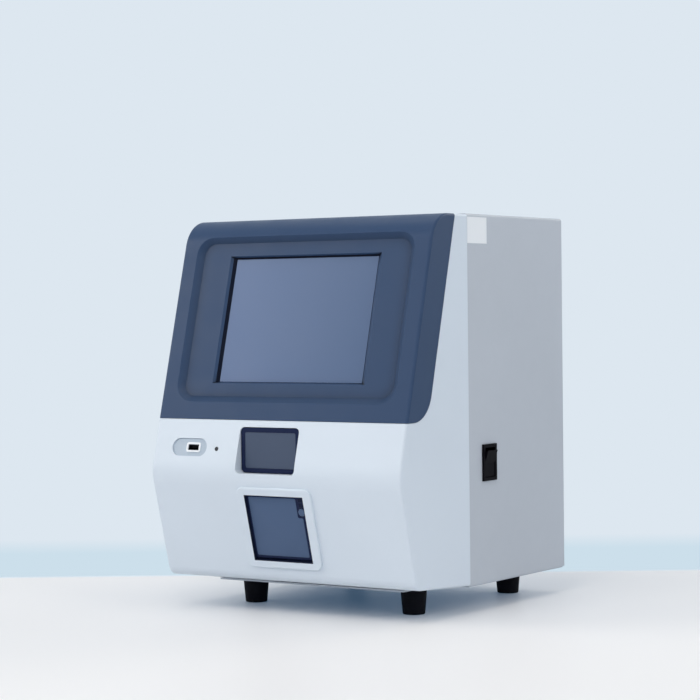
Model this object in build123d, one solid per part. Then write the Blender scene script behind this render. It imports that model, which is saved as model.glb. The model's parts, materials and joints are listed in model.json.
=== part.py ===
from build123d import *
from math import acos, cos, pi, radians, sin, sqrt, tan
import os

# Bench-top immunofluorescence analyzer.
# Frame: X to the viewer's right, Y towards the back, Z up, origin on the table
# under the middle of the object. Lengths are in millimetres, angles in degrees.

# Overall sizes
WIDTH = 300.0
DEPTH = 325.4
HEIGHT = 398.0
FASCIA_DEPTH = 127.3
FRONT_DROP = 0.8
FRONT_TOP = HEIGHT - FRONT_DROP
FRONT_Y = -DEPTH / 2
REAR_Y = DEPTH / 2
SEAM_Y = FRONT_Y + FASCIA_DEPTH
SEAM_GAP = 0.3
FIT = 0.3
PAST = 1.0

# Front fascia moulding
SLOPE = 15.0
CHIN_Z = 142.0
CHIN_RADIUS = 42.0
TOP_RADIUS = 33.0
TOE_Z = 34.0
TOE_RADIUS = 12.0
SKIRT_Z = 28.5
EDGE_RADIUS = 2.5
WALL = 3.0
BOSS_SIZE = 10.0
BOSS_DEPTH = 12.0
BOSS_LOW = 60.0
BOSS_BELOW_TOP = 58.0
BOSS_HIGH = HEIGHT - BOSS_BELOW_TOP
BOSS_HEIGHTS = (BOSS_LOW, (BOSS_LOW + BOSS_HIGH) / 2, BOSS_HIGH)
FLOOR_WINDOW_MARGIN = 6.0
FLOOR_WINDOW_DEPTH = 58.0

# Screen bezel and display
BEZEL_Z = 195.0
BEZEL_WRAP = 38.0
BEZEL_CORNER = 34.0
BEZEL_GAP = 0.3
LIP_WIDTH = 7.0
LIP_THICK = 2.0
LIP_GAP = 0.1
SCREEN_RISE = 0.6
SCREEN_Z = (BEZEL_Z + FRONT_TOP) / 2 + SCREEN_RISE
RING_W = 265.0
RING_BORDER = 17.6
RING_RADIUS = 20.0
RING_BEVEL = 7.0
RING_DEPTH = 5.0
MOUTH_W = 184.0
MOUTH_BORDER = 20.5
MOUTH_SIDE_BEVEL = 5.5
MOUTH_TOP_BEVEL = 2.2
MOUTH_DEPTH = 4.2
DISH_WALL = 3.0
GLASS_BORDER = 3.3
GLASS_THICK = 1.8
LCD_THICK = 5.5
LCD_MARGIN = 1.7
DRIVER_W = 94.0
DRIVER_H = 45.0
DRIVER_THICK = 3.0
DRIVER_CLEAR = 5.0
BRACKET_THICK = 1.5
BRACKET_MARGIN = 19.0
BRACKET_EAR = 6.0
BRACKET_POST_R = 4.0

# Sheet-metal case
SHEET = 1.5
SIDE_INSET = 0.6
BEND_RADIUS = 2.5
FLANGE = 16.0
REAR_FLANGE = 12.0
PAN_FLANGE = 22.0
TONGUE_MARGIN = 15.0
TONGUE_REACH = 63.6
ANGLE_LEG = 20.0
ANGLE_THICK = 2.0

# Screws
SCREW_R = 1.5
SCREW_HEAD_R = 2.8
SCREW_HEAD_H = 1.2
SCREW_SLOT_W = 0.7
SCREW_HOLE_R = 1.65
SCREW_LENGTH = 7.0
REAR_SCREW_LOW = 60.0
REAR_SCREW_BELOW_TOP = 32.0
REAR_SCREW_HIGH = HEIGHT - REAR_SCREW_BELOW_TOP
REAR_SCREW_MIDDLE = (REAR_SCREW_LOW + REAR_SCREW_HIGH) / 2
REAR_SCREW_HEIGHTS = (REAR_SCREW_LOW, REAR_SCREW_MIDDLE, REAR_SCREW_HIGH)

# Rubber feet
FOOT_H = 27.0
FOOT_TOP_R = 13.6
FOOT_BASE_R = 11.2
FOOT_BASE_ROUND = 1.2
FOOT_INSET = 53.0
FOOT_X = WIDTH / 2 - FOOT_INSET
FOOT_FRONT_LEAD = 21.5
FOOT_REAR_SETBACK = 30.1
FOOT_FRONT_Y = SEAM_Y - FOOT_FRONT_LEAD
FOOT_REAR_Y = REAR_Y - FOOT_REAR_SETBACK
FOOT_SCREW_R = 2.0
FOOT_SCREW_HEAD_R = 3.8
FOOT_SCREW_HEAD_H = 2.8
FOOT_RECESS_R = 4.6
FOOT_RECESS_H = 10.0
FOOT_SCREW_LENGTH = 22.0
FOOT_SLOT_W = 1.0
FOOT_SLOT_DEPTH = 1.0

# Data port and status lamp on the upper slope
PORT_X = -105.0
PORT_Z = 167.2
PORT_PLATE_W = 43.3
PORT_PLATE_H = 18.3
PORT_RECESS = 2.6
PORT_PLATE_THICK = 1.2
USB_OFFSET = 4.5
USB_X = PORT_X + USB_OFFSET
USB_W = 13.1
USB_H = 5.7
USB_DEPTH = 14.0
USB_SHELL = 0.4
USB_TONGUE_W = 11.1
USB_TONGUE_H = 1.8
USB_TONGUE_OFF = 0.9
USB_TONGUE_SET = 1.0
LAMP_X = -70.8
LAMP_Z = 166.2
LAMP_R = 2.2
LAMP_FLANGE_R = 3.3
LAMP_FLANGE_T = 1.0
LAMP_LENGTH = 6.0

# Sample drawer, vertical front in a horizontal pocket
DRAWER_X = -9.05
DRAWER_Z = 165.6
DRAWER_HOLE_W = 71.5
DRAWER_HOLE_H = 45.8
DRAWER_HOLE_RADIUS = 5.0
DRAWER_GAP = 0.6
DRAWER_FRONT_THICK = 6.0
DRAWER_INSET_BORDER = 4.4
DRAWER_INSET_DEPTH = 1.2
DRAWER_INSET_RADIUS = 2.0
DRAWER_INSET_THICK = 0.8
COLLAR_WALL = 2.5
COLLAR_BACK = 24.0
DRAWER_TRAVEL = 90.0
TRAY_HALF = 31.0
TRAY_Z = 149.0
TRAY_H = 13.0
TRAY_REAR_H = 7.0
TRAY_LENGTH = 180.0
TRAY_FULL_LENGTH = 84.0
POCKET_W = 21.0
POCKET_L = 72.0
POCKET_DEPTH = 9.0
POCKET_OFFSET = 14.5
POCKET_START = 7.0
LIP_W = 3.0
LIP_H = 2.5
LIP_Z = 152.5
LIP_START = 26.0
SLIDE_GAP = 0.4

# Drawer rack, pinion and motor
PRESSURE_ANGLE = 20.0
ADDENDUM = 0.9
DEDENDUM = 1.15
GEAR_MODULE = 1.0
PINION_TEETH = 14
PINION_LEAD = 30.6
PINION_Y = SEAM_Y - PINION_LEAD
PINION_THICK = 3.6
RACK_H = 4.5
RACK_BODY = 4.0
RACK_OFFSET = 15.0
RACK_PITCH_X = DRAWER_X + RACK_OFFSET
RACK_END = 6.0
MESH_GAP = 0.12
TOOTH_BACKLASH = 0.16
MOTOR_SHAFT_R = 2.0
DRAWER_MOTOR_SIZE = 35.0
DRAWER_MOTOR_H = 26.0
MOTOR_CORNER = 4.0
SHAFT_IN_MOTOR = 12.0
RUNNING = 0.06

# Mechanism deck
DECK_Z = 128.0
DECK_THICK = 2.0
DECK_LEFT = -72.0
DECK_RIGHT = 72.0
DECK_LEAD = 90.1
DECK_BEHIND_SEAM = 97.4
DECK_FRONT = SEAM_Y - DECK_LEAD
DECK_REAR = SEAM_Y + DECK_BEHIND_SEAM
POST_R = 4.0
POST_X = 62.0
POST_LEAD = 48.6
POST_FRONT_Y = SEAM_Y - POST_LEAD
POST_CLEAR = 6.0
GUIDE_WEB = 2.5
GUIDE_FLANGE = 2.4
GUIDE_START = 3.5
GUIDE_STOP = 4.0
GUIDE_FRONT = DECK_FRONT + GUIDE_START
GUIDE_REAR = DECK_REAR - GUIDE_STOP

# Optical scanner above the drawer
BLOCK_T = 12.0
BLOCK_PILLAR = 10.0
BLOCK_INNER = 38.0
BLOCK_BEAM_Z = 170.0
BLOCK_TOP_Z = 184.0
BLOCK_START = 1.5
FRONT_BLOCK_Y = DECK_FRONT + BLOCK_START
ROD_R = 3.0
ROD_X = 42.0
ROD_Z = 177.0
SCAN_TRAVEL = 36.0
SCAN_STOP = 4.0
HEAD_HALF = 34.0
HEAD_BEARING_HALF = 47.0
HEAD_BEARING_H = 12.0
HEAD_LENGTH = 24.0
HEAD_Z = 165.0
HEAD_TOP_Z = 196.0
LENS_R = 5.0
LENS_DROP = 2.1
SCAN_SCREW_R = 2.5
SCAN_MOTOR_SIZE = 28.0
SCAN_MOTOR_L = 30.0

# Ticket printer, set square to the lower slope
PRINTER_Z = 89.0
RIM_W = 90.0
RIM_H = 84.0
RIM_RADIUS = 8.0
RIM_PROUD = 2.4
RIM_EDGE = 1.5
COVER_HOLE_W = 70.4
COVER_HOLE_H = 68.4
SLEEVE_W = 80.8
SLEEVE_H = 77.0
SLEEVE_DEPTH = 10.0
BAY_HALF = 40.0
BAY_WALL = 2.0
BAY_TOP = 38.0
BAY_STEP_Y = 22.0
BAY_SHOULDER_Y = 30.0
BAY_SHOULDER_Z = 26.0
BAY_DEPTH = 60.0
BAY_REAR_TOP = 20.0
BAY_BOTTOM = -38.5
COVER_GAP = 0.5
COVER_FACE = 1.0
COVER_THICK = 3.0
HINGE_Y = 3.6
HINGE_Z = -31.2
HINGE_BARREL_R = 2.6
HINGE_PIN_R = 1.25
HINGE_PIN_HALF = 38.0
EAR_X = 29.9
EAR_THICK = 1.2
EAR_BOTTOM = 18.0
EAR_TOP = 30.0
EAR_DEPTH = 14.0
PLATEN_Y = 11.0
PLATEN_Z = 24.0
PLATEN_R = 4.5
PLATEN_HALF = 28.7
PLATEN_SHAFT_R = 1.5
PLATEN_TEETH = 18
FEED_TEETH = 12
FEED_MODULE = 0.5
FEED_BACKLASH = 0.1
FEED_MESH_GAP = 0.08
FEED_GEAR_X = 31.7
FEED_GEAR_THICK = 2.4
FEED_SHAFT_R = 1.0
FEED_MOTOR_R = 8.0
FEED_MOTOR_L = 14.0
ROLL_R = 22.0
ROLL_CORE_R = 6.5
ROLL_HALF = 28.5
ROLL_Y = 34.0
ROLL_Z = -6.0
CRADLE_GAP = 0.3
CRADLE_FRONT = 16.0
CRADLE_LOW = -24.0
CRADLE_HIGH = -14.0
CHEEK_LEAD = 8.0
HEAD_GAP = 0.3
HEAD_PLATE_HALF = 28.0
HEAD_PLATE_THICK = 3.0
HEAD_PLATE_BOTTOM = 16.0
LATCH_X = 29.4
LATCH_Z = 17.5
LATCH_R = 3.7
LATCH_POCKET = 2.4
LATCH_THICK = 1.6
LATCH_PROUD = 0.8
LATCH_EDGE = 0.5
MARK_W = 5.0
MARK_H = 3.4
MARK_DEPTH = 0.8
MARK_HEIGHTS = (24.6, 29.8)

# Power switch on the right side
SWITCH_BEHIND_SEAM = 39.75
SWITCH_Y = SEAM_Y + SWITCH_BEHIND_SEAM
SWITCH_Z = 149.0
SWITCH_W = 27.0
SWITCH_H = 37.0
SWITCH_FLANGE = 2.0
SWITCH_BODY_W = 23.6
SWITCH_BODY_H = 33.6
SWITCH_BODY_DEPTH = 24.0
SWITCH_POCKET_W = 19.7
SWITCH_POCKET_H = 30.0
SWITCH_POCKET_DEPTH = 16.0
ROCKER_PIVOT = 6.4
ROCKER_HALF_H = 13.4
ROCKER_HORN = 7.6
ROCKER_WAIST = 5.8
ROCKER_KEEL = 5.0
ROCKER_KEEL_HALF = 6.0
ROCKER_TILT = 8.0
ROCKER_SIDE_GAP = 0.3
TRUNNION_R = 1.95
TRUNNION_REACH = 1.0
TRUNNION_GAP = 0.05

# Side sticker
STICKER_BEHIND_SEAM = 20.4
STICKER_BELOW_TOP = 16.3
STICKER_Y = SEAM_Y + STICKER_BEHIND_SEAM
STICKER_Z = HEIGHT - STICKER_BELOW_TOP
STICKER_W = 38.0
STICKER_H = 26.2
STICKER_THICK = 0.15

# Electronics on the pan
BOARD_INSET = 9.9
BOARD_W = 120.0
BOARD_L = 98.0
BOARD_T = 1.6
BOARD_BEHIND = 1.7
CHIP_X = 42.0
CHIP_Y = 30.0
CHIP_SIZE = 28.0
CHIP_H = 2.0
MEMORY_X = 80.0
MEMORY_Y = 24.0
MEMORY_W = 14.0
MEMORY_L = 20.0
MEMORY_H = 1.6
PLUG_X = 14.0
PLUG_Y = 12.0
PLUG_W = 16.0
PLUG_L = 14.0
PLUG_H = 8.0
CAPACITORS = 3
CAPACITOR_X = 100.0
CAPACITOR_Y = 56.0
CAPACITOR_PITCH = 13.0
CAPACITOR_R = 5.0
CAPACITOR_H = 12.0
STANDOFF_H = 9.5
STANDOFF_R = 3.0
STANDOFF_EDGE = 6.0
SUPPLY_X0 = 72.0
SUPPLY_W = 60.0
SUPPLY_L = 130.0
SUPPLY_BEHIND = 39.7
SUPPLY_H = 38.0
SUPPLY_SLOTS = 9
SUPPLY_SLOT_W = 3.0
SUPPLY_SLOT_DEPTH = 1.0
SUPPLY_SLOT_PITCH = 9.0
NET_X = -100.0
NET_W = 16.0
NET_H = 13.5
NET_L = 21.0
NET_HOLE_W = 12.0
NET_HOLE_H = 7.6
NET_HOLE_DEPTH = 12.0
NET_PROUD = 0.5
INLET_X = 100.0
INLET_Z = 92.0
INLET_W = 28.0
INLET_H = 20.5
INLET_L = 25.0
INLET_RIM = 3.0
INLET_FLANGE = 2.0
INLET_HOLE_W = 24.0
INLET_HOLE_H = 16.5
INLET_HOLE_DEPTH = 17.0
INLET_HOLE_RADIUS = 1.0
PIN_W = 2.0
PIN_H = 4.0
PIN_L = 14.0
PIN_SPREAD = 7.0
PIN_RISE = 3.5

# Cooling fan behind the rear panel
FAN_X = 60.0
FAN_BELOW_TOP = 98.0
FAN_Z = HEIGHT - FAN_BELOW_TOP
FAN_SIZE = 80.0
FAN_T = 25.0
FAN_BORE_R = 38.0
FAN_CORNER = 4.0
FAN_HUB_R = 17.0
FAN_HUB_T = 19.0
FAN_BLADES = 7
FAN_BLADE_T = 1.6
FAN_BLADE_PITCH = 32.0
FAN_BLADE_ROOT = 2.0
FAN_BLADE_MARGIN = 1.5
FAN_TIP_GAP = 1.0
FAN_STATOR_T = 3.0
FAN_STATOR_R = 16.0
FAN_STRUT_W = 4.0
FAN_STRUTS = 4
FAN_STRUT_TURN = 45.0
FAN_PIN_R = 1.5
VENT_SLOTS = 9
VENT_SLOT_H = 4.0
VENT_FLAT = 0.1
VENT_PITCH = 8.0
VENT_RIM = 2.0
LOW_VENT_X = -60.0
LOW_VENT_Z = 160.0
LOW_VENT_W = 90.0

# Values worked out from the sizes above
TAN = tan(radians(SLOPE))
TONGUE_HALF = FOOT_X + TONGUE_MARGIN
FLOOR_WINDOW_HALF = TONGUE_HALF - FLOOR_WINDOW_MARGIN
RING_H = (FRONT_TOP - BEZEL_Z) / cos(radians(SLOPE)) - 2 * RING_BORDER
MOUTH_H = RING_H - 2 * MOUTH_BORDER
CHIN_Y = FRONT_Y - CHIN_RADIUS * (1 / cos(radians(SLOPE)) - 1)
SIDE_X = WIDTH / 2 - SIDE_INSET
SIDE_IN = SIDE_X - SHEET
BOARD_X0 = BOARD_INSET - SIDE_IN
CASE_FRONT_Y = SEAM_Y + SEAM_GAP
LID_TOP = HEIGHT - SHEET
BACK_OUT = REAR_Y - SHEET
BACK_IN = BACK_OUT - SHEET
PAN_TOP = FOOT_H + SHEET
DECK_TOP = DECK_Z + DECK_THICK
SCREEN_DEPTH = RING_DEPTH + MOUTH_DEPTH
GLASS_OPEN_W = MOUTH_W - 2 * MOUTH_SIDE_BEVEL
GLASS_OPEN_H = MOUTH_H - 2 * MOUTH_TOP_BEVEL
BOARD_Y0 = BACK_IN - BOARD_BEHIND - BOARD_L
SUPPLY_Y0 = BACK_IN - SUPPLY_BEHIND - SUPPLY_L
POST_REAR_Y = BOARD_Y0 - POST_CLEAR - POST_R
PINION_R = GEAR_MODULE * PINION_TEETH / 2
PINION_X = RACK_PITCH_X + PINION_R + MESH_GAP
FEED_Y = PLATEN_Y + FEED_MODULE * (PLATEN_TEETH + FEED_TEETH) / 2 + FEED_MESH_GAP
SWITCH_FACE = SIDE_X + SWITCH_FLANGE
PIVOT_X = SWITCH_FACE - ROCKER_PIVOT
HEAD_FRONT_Y = FRONT_BLOCK_Y + BLOCK_T + SCAN_TRAVEL / 2 + SCAN_STOP
HEAD_REAR_Y = HEAD_FRONT_Y + HEAD_LENGTH
REAR_BLOCK_Y = HEAD_REAR_Y + SCAN_TRAVEL / 2 + SCAN_STOP


def slope_y(z):
    """Front surface of the flat slopes at height z, as if the chin were sharp."""
    return CHIN_Y + abs(z - CHIN_Z) * TAN


# The drawer front's upper edge is flush with the slope
DRAWER_FRONT_Y = slope_y(DRAWER_Z + DRAWER_HOLE_H / 2 - DRAWER_GAP)
TRAY_Y0 = DRAWER_FRONT_Y + DRAWER_FRONT_THICK

# The upper and lower slopes carry their own frames: local Y points inwards
UPPER = Location((0, slope_y(SCREEN_Z), SCREEN_Z), (-SLOPE, 0, 0))
LOWER = Location((0, slope_y(PRINTER_Z), PRINTER_Z), (SLOPE, 0, 0))
PORT_PLACE = Location((0, slope_y(PORT_Z), PORT_Z), (-SLOPE, 0, 0))
LAMP_PLACE = Location((0, slope_y(LAMP_Z), LAMP_Z), (-SLOPE, 0, 0))


# Small helpers
def block(x0, x1, y0, y1, z0, z1):
    """Box between two corners."""
    size = Box(x1 - x0, y1 - y0, z1 - z0)
    return Pos((x0 + x1) / 2, (y0 + y1) / 2, (z0 + z1) / 2) * size


def rod_x(x0, x1, y, z, r):
    """Cylinder along X."""
    return Pos((x0 + x1) / 2, y, z) * Rot(0, 90, 0) * Cylinder(r, x1 - x0)


def rod_y(x, y0, y1, z, r):
    """Cylinder along Y."""
    return Pos(x, (y0 + y1) / 2, z) * Rot(90, 0, 0) * Cylinder(r, y1 - y0)


def rod_z(x, y, z0, z1, r):
    """Cylinder along Z."""
    return Pos(x, y, (z0 + z1) / 2) * Cylinder(r, z1 - z0)


def side_face(points, radii=None):
    """Face in the Y-Z plane from corner points, with optional corner radii."""
    if radii is None:
        outline = Polyline(*points, close=True)
    else:
        outline = FilletPolyline(*points, radius=radii, close=True)
    return Plane.YZ * make_face(outline)


def across(face, half):
    """Extrude a Y-Z face by half to both sides of X = 0."""
    return extrude(face, amount=half, both=True)


def front_plate(width, height, y0, y1, radius=0.0):
    """Plate facing -Y, centred on the origin, with rounded corners."""
    plate = Box(width, y1 - y0, height)
    if radius > 0:
        plate = fillet(plate.edges().filter_by(Axis.Y), radius)
    return Pos(0, (y0 + y1) / 2, 0) * plate


def round_pocket(width, height, radius, bevel, y0, y1):
    """Round-cornered pocket in a face at y0 that narrows by the bevel down to y1."""
    grow = bevel * PAST / (y1 - y0)
    mouth = Plane.XZ.offset(PAST - y0)
    floor = Plane.XZ.offset(-y1)
    wide = mouth * RectangleRounded(width + 2 * grow, height + 2 * grow, radius + grow)
    tight = floor * RectangleRounded(width - 2 * bevel, height - 2 * bevel, radius - bevel)
    return loft([wide.faces()[0], tight.faces()[0]], ruled=True)


def square_pocket(width, height, side_bevel, top_bevel, y0, y1):
    """Square-cornered pocket in a face at y0 whose sides and top narrow down to y1."""
    share = PAST / (y1 - y0)
    wide_w = width + 2 * side_bevel * share
    wide_h = height + 2 * top_bevel * share
    wide = Plane.XZ.offset(PAST - y0) * Rectangle(wide_w, wide_h)
    tight = Plane.XZ.offset(-y1) * Rectangle(width - 2 * side_bevel, height - 2 * top_bevel)
    return loft([wide.faces()[0], tight.faces()[0]], ruled=True)


def roll_angle(cosine):
    """Involute function of the pressure angle that has this cosine."""
    angle = acos(min(1.0, cosine))
    return tan(angle) - angle


def gear_face(teeth, module, backlash, turn):
    """Involute gear outline about the origin; one tooth points along the turn angle."""
    pitch_r = module * teeth / 2
    base_r = pitch_r * cos(radians(PRESSURE_ANGLE))
    root_r = pitch_r - DEDENDUM * module
    tip_r = pitch_r + ADDENDUM * module
    half = pi / (2 * teeth) - backlash / (2 * pitch_r) + roll_angle(base_r / pitch_r)
    steps = [root_r, max(root_r, base_r), pitch_r, (pitch_r + tip_r) / 2, tip_r]
    flank = [(r, half - roll_angle(base_r / max(r, base_r))) for r in sorted(set(steps))]
    points = []
    for i in range(teeth):
        middle = radians(turn) + 2 * pi * i / teeth
        for r, spread in flank:
            points.append((r * cos(middle - spread), r * sin(middle - spread)))
        for r, spread in reversed(flank):
            points.append((r * cos(middle + spread), r * sin(middle + spread)))
    return make_face(Polyline(*points, close=True))


def motor_can(size, length, corner):
    """Square motor body centred on Z, from z = 0 down."""
    can = Box(size, size, length)
    can = fillet(can.edges().filter_by(Axis.Z), corner)
    return Pos(0, 0, -length / 2) * can


def case_screw():
    """Pan-head screw along Z: the head stands above z = 0, the shank hangs below."""
    head = Pos(0, 0, SCREW_HEAD_H / 2) * Cylinder(SCREW_HEAD_R, SCREW_HEAD_H)
    shank = Pos(0, 0, -SCREW_LENGTH / 2) * Cylinder(SCREW_R, SCREW_LENGTH)
    slot = Pos(0, 0, SCREW_HEAD_H) * Box(2 * SCREW_R, SCREW_SLOT_W, SCREW_HEAD_H)
    slot += Pos(0, 0, SCREW_HEAD_H) * Box(SCREW_SLOT_W, 2 * SCREW_R, SCREW_HEAD_H)
    return head + shank - slot


# Front fascia and bezel share one outer form
def fascia_side():
    """Side outline of the front, run a little past the seam to be trimmed there."""
    past = SEAM_Y + 4 * WALL
    drop = (SKIRT_Z - TOE_Z) / (SEAM_Y - slope_y(TOE_Z))
    points = [
        (past, FRONT_TOP),
        (slope_y(FRONT_TOP), FRONT_TOP),
        (CHIN_Y, CHIN_Z),
        (slope_y(TOE_Z), TOE_Z),
        (past, SKIRT_Z + drop * (past - SEAM_Y)),
    ]
    return side_face(points, [0, TOP_RADIUS, CHIN_RADIUS, TOE_RADIUS, 0])


def fascia_form(inset):
    """The front's form, shrunk by the inset on every side but the seam."""
    if inset == 0:
        form = across(fascia_side(), WIDTH / 2)
        ends = form.faces().filter_by(Axis.X)
        form = fillet(ends.edges(), EDGE_RADIUS)
    else:
        form = across(offset(fascia_side(), amount=-inset), WIDTH / 2 - inset)
    trim = block(-WIDTH, WIDTH, SEAM_Y, SEAM_Y + DEPTH, 0, 2 * HEIGHT)
    return form - trim


def bezel_area(grow):
    """Side outline of the dark cap: a slanted rear edge with a round lower corner."""
    far = FRONT_Y - WALL * 10
    high = HEIGHT + WALL * 10
    wrap = BEZEL_WRAP + grow / cos(radians(SLOPE))
    low = BEZEL_Z - grow
    points = [
        (far, low),
        (slope_y(low) + wrap, low),
        (slope_y(high) + wrap, high),
        (far, high),
    ]
    area = side_face(points, [0, BEZEL_CORNER + grow, 0, 0])
    return across(area, WIDTH)


def drawer_collar():
    """Pocket walls around the drawer front, and the hole through them."""
    y0 = FRONT_Y - WALL
    y1 = DRAWER_FRONT_Y + COLLAR_BACK
    w = DRAWER_HOLE_W + 2 * COLLAR_WALL
    h = DRAWER_HOLE_H + 2 * COLLAR_WALL
    place = Pos(DRAWER_X, 0, DRAWER_Z)
    walls = place * front_plate(w, h, y0, y1, DRAWER_HOLE_RADIUS + COLLAR_WALL)
    hole = place * front_plate(DRAWER_HOLE_W, DRAWER_HOLE_H, y0, y1 + WALL, DRAWER_HOLE_RADIUS)
    return walls, hole


def port_stadium(y0, y1, shrink):
    """Stadium-shaped plate of the data port recess."""
    height = PORT_PLATE_H - 2 * shrink
    width = PORT_PLATE_W - 2 * shrink
    outline = Plane.XZ.offset(-y0) * SlotOverall(width, height)
    return PORT_PLACE * Pos(PORT_X, 0, 0) * extrude(outline, amount=-(y1 - y0))


def front_fascia(outer, inner):
    skin = outer - inner
    lip_inner = fascia_form(WALL + LIP_GAP + LIP_THICK)
    lip = fascia_form(WALL + LIP_GAP) - lip_inner
    lip = lip & (bezel_area(LIP_WIDTH) - bezel_area(-LIP_WIDTH))
    root = fascia_form(WALL / 2) - lip_inner
    root = root & (bezel_area(LIP_WIDTH) - bezel_area(0))
    skin = skin - bezel_area(0) + lip + root
    for z in BOSS_HEIGHTS:
        for side in (-1, 1):
            x = side * (WIDTH / 2 - WALL / 2 - BOSS_SIZE / 2 - WALL)
            boss = Box(BOSS_SIZE + 2 * WALL, BOSS_DEPTH, BOSS_SIZE)
            skin += Pos(x, SEAM_Y - BOSS_DEPTH / 2, z) * boss
    walls, hole = drawer_collar()
    skin = skin + (walls & outer) - hole
    stub = PORT_PLACE * Pos(PORT_X, 0, 0) * front_plate(
        PORT_PLATE_W + 2 * WALL, PORT_PLATE_H + 2 * WALL, WALL / 2, PORT_RECESS + WALL, WALL
    )
    skin += stub
    skin -= port_stadium(-WALL, PORT_RECESS, 0)
    usb_hole = front_plate(USB_W + 2 * FIT, USB_H + 2 * FIT, 0, USB_DEPTH)
    skin -= PORT_PLACE * Pos(USB_X, 0, 0) * usb_hole
    skin -= LAMP_PLACE * rod_y(LAMP_X, -WALL, 2 * WALL, 0, LAMP_R + FIT / 3)
    opening = front_plate(SLEEVE_W + 2 * FIT, SLEEVE_H + 2 * FIT, -WALL, SLEEVE_DEPTH)
    skin -= LOWER * opening
    window = block(
        -FLOOR_WINDOW_HALF,
        FLOOR_WINDOW_HALF,
        SEAM_Y - FLOOR_WINDOW_DEPTH,
        SEAM_Y + WALL,
        0,
        TOE_Z + 2 * WALL,
    )
    skin -= window
    for z in BOSS_HEIGHTS:
        for side in (-1, 1):
            x = side * (SIDE_IN - ANGLE_LEG / 2)
            skin -= rod_y(x, SEAM_Y - BOSS_DEPTH / 2, SEAM_Y + PAST, z, SCREW_R)
    return skin


def screen_bezel(outer, inner):
    area = bezel_area(-BEZEL_GAP)
    shell = (outer - inner) & area
    reach = RING_BEVEL + DISH_WALL
    dish = front_plate(
        RING_W + reach, RING_H + reach, WALL / 2, RING_DEPTH + DISH_WALL, RING_RADIUS
    )
    seat = front_plate(
        GLASS_OPEN_W + 2 * GLASS_BORDER + 2 * DISH_WALL,
        GLASS_OPEN_H + 2 * GLASS_BORDER + 2 * DISH_WALL,
        RING_DEPTH,
        SCREEN_DEPTH + GLASS_THICK,
    )
    dish += seat
    ear_x = bracket_half_w() - BRACKET_EAR
    ear_z = bracket_half_h() - BRACKET_EAR
    for sx in (-1, 1):
        for sz in (-1, 1):
            y0 = RING_DEPTH
            y1 = bracket_y()
            dish += rod_y(sx * ear_x, y0, y1, sz * ear_z, BRACKET_POST_R)
    body = shell + ((UPPER * dish) & outer & area)
    body -= UPPER * round_pocket(RING_W, RING_H, RING_RADIUS, RING_BEVEL, 0, RING_DEPTH)
    body -= UPPER * square_pocket(
        MOUTH_W, MOUTH_H, MOUTH_SIDE_BEVEL, MOUTH_TOP_BEVEL, RING_DEPTH, SCREEN_DEPTH
    )
    through = front_plate(GLASS_OPEN_W, GLASS_OPEN_H, 0, SCREEN_DEPTH + LCD_THICK)
    body -= UPPER * through
    glass_w = GLASS_OPEN_W + 2 * GLASS_BORDER + FIT
    glass_h = GLASS_OPEN_H + 2 * GLASS_BORDER + FIT
    body -= UPPER * front_plate(glass_w, glass_h, SCREEN_DEPTH, SCREEN_DEPTH + 2 * GLASS_THICK)
    for sx in (-1, 1):
        for sz in (-1, 1):
            y1 = bracket_y() + PAST
            hole = rod_y(sx * ear_x, y1 - SCREW_LENGTH, y1, sz * ear_z, SCREW_R)
            body -= UPPER * hole
    return body


def bracket_half_w():
    return GLASS_OPEN_W / 2 + BRACKET_MARGIN


def bracket_half_h():
    return GLASS_OPEN_H / 2 + GLASS_BORDER


def bracket_y():
    """Front face of the display bracket in the upper frame."""
    return SCREEN_DEPTH + GLASS_THICK + LCD_THICK


# Display stack
def touch_glass():
    w = GLASS_OPEN_W + 2 * GLASS_BORDER
    h = GLASS_OPEN_H + 2 * GLASS_BORDER
    return UPPER * front_plate(w, h, SCREEN_DEPTH, SCREEN_DEPTH + GLASS_THICK)


def lcd_module():
    w = GLASS_OPEN_W + 2 * GLASS_BORDER + 2 * LCD_MARGIN
    h = GLASS_OPEN_H + 2 * GLASS_BORDER + 2 * LCD_MARGIN
    y0 = SCREEN_DEPTH + GLASS_THICK
    can = front_plate(w, h, y0, y0 + LCD_THICK)
    board = front_plate(DRIVER_W, DRIVER_H, y0 + LCD_THICK, y0 + LCD_THICK + DRIVER_THICK)
    return UPPER * (can + board)


def display_bracket():
    y0 = bracket_y()
    plate = front_plate(2 * bracket_half_w(), 2 * bracket_half_h(), y0, y0 + BRACKET_THICK)
    w = DRIVER_W + 2 * DRIVER_CLEAR
    h = DRIVER_H + 2 * DRIVER_CLEAR
    plate -= front_plate(w, h, y0 - PAST, y0 + BRACKET_THICK + PAST)
    ear_x = bracket_half_w() - BRACKET_EAR
    ear_z = bracket_half_h() - BRACKET_EAR
    for sx in (-1, 1):
        for sz in (-1, 1):
            y1 = y0 + BRACKET_THICK + PAST
            plate -= rod_y(sx * ear_x, y0 - PAST, y1, sz * ear_z, SCREW_HOLE_R)
    return UPPER * plate


# Data port and lamp
def port_escutcheon():
    plate = port_stadium(PORT_RECESS - PORT_PLATE_THICK, PORT_RECESS, FIT / 2)
    hole = front_plate(USB_W + FIT / 2, USB_H + FIT / 2, -WALL, WALL)
    return plate - PORT_PLACE * Pos(USB_X, 0, 0) * hole


def usb_shell():
    y0 = PORT_RECESS - PORT_PLATE_THICK
    outer = front_plate(USB_W, USB_H, y0, y0 + USB_DEPTH)
    cavity = front_plate(
        USB_W - 2 * USB_SHELL, USB_H - 2 * USB_SHELL, y0 - PAST, y0 + USB_DEPTH - 2 * USB_SHELL
    )
    return PORT_PLACE * Pos(USB_X, 0, 0) * (outer - cavity)


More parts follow.
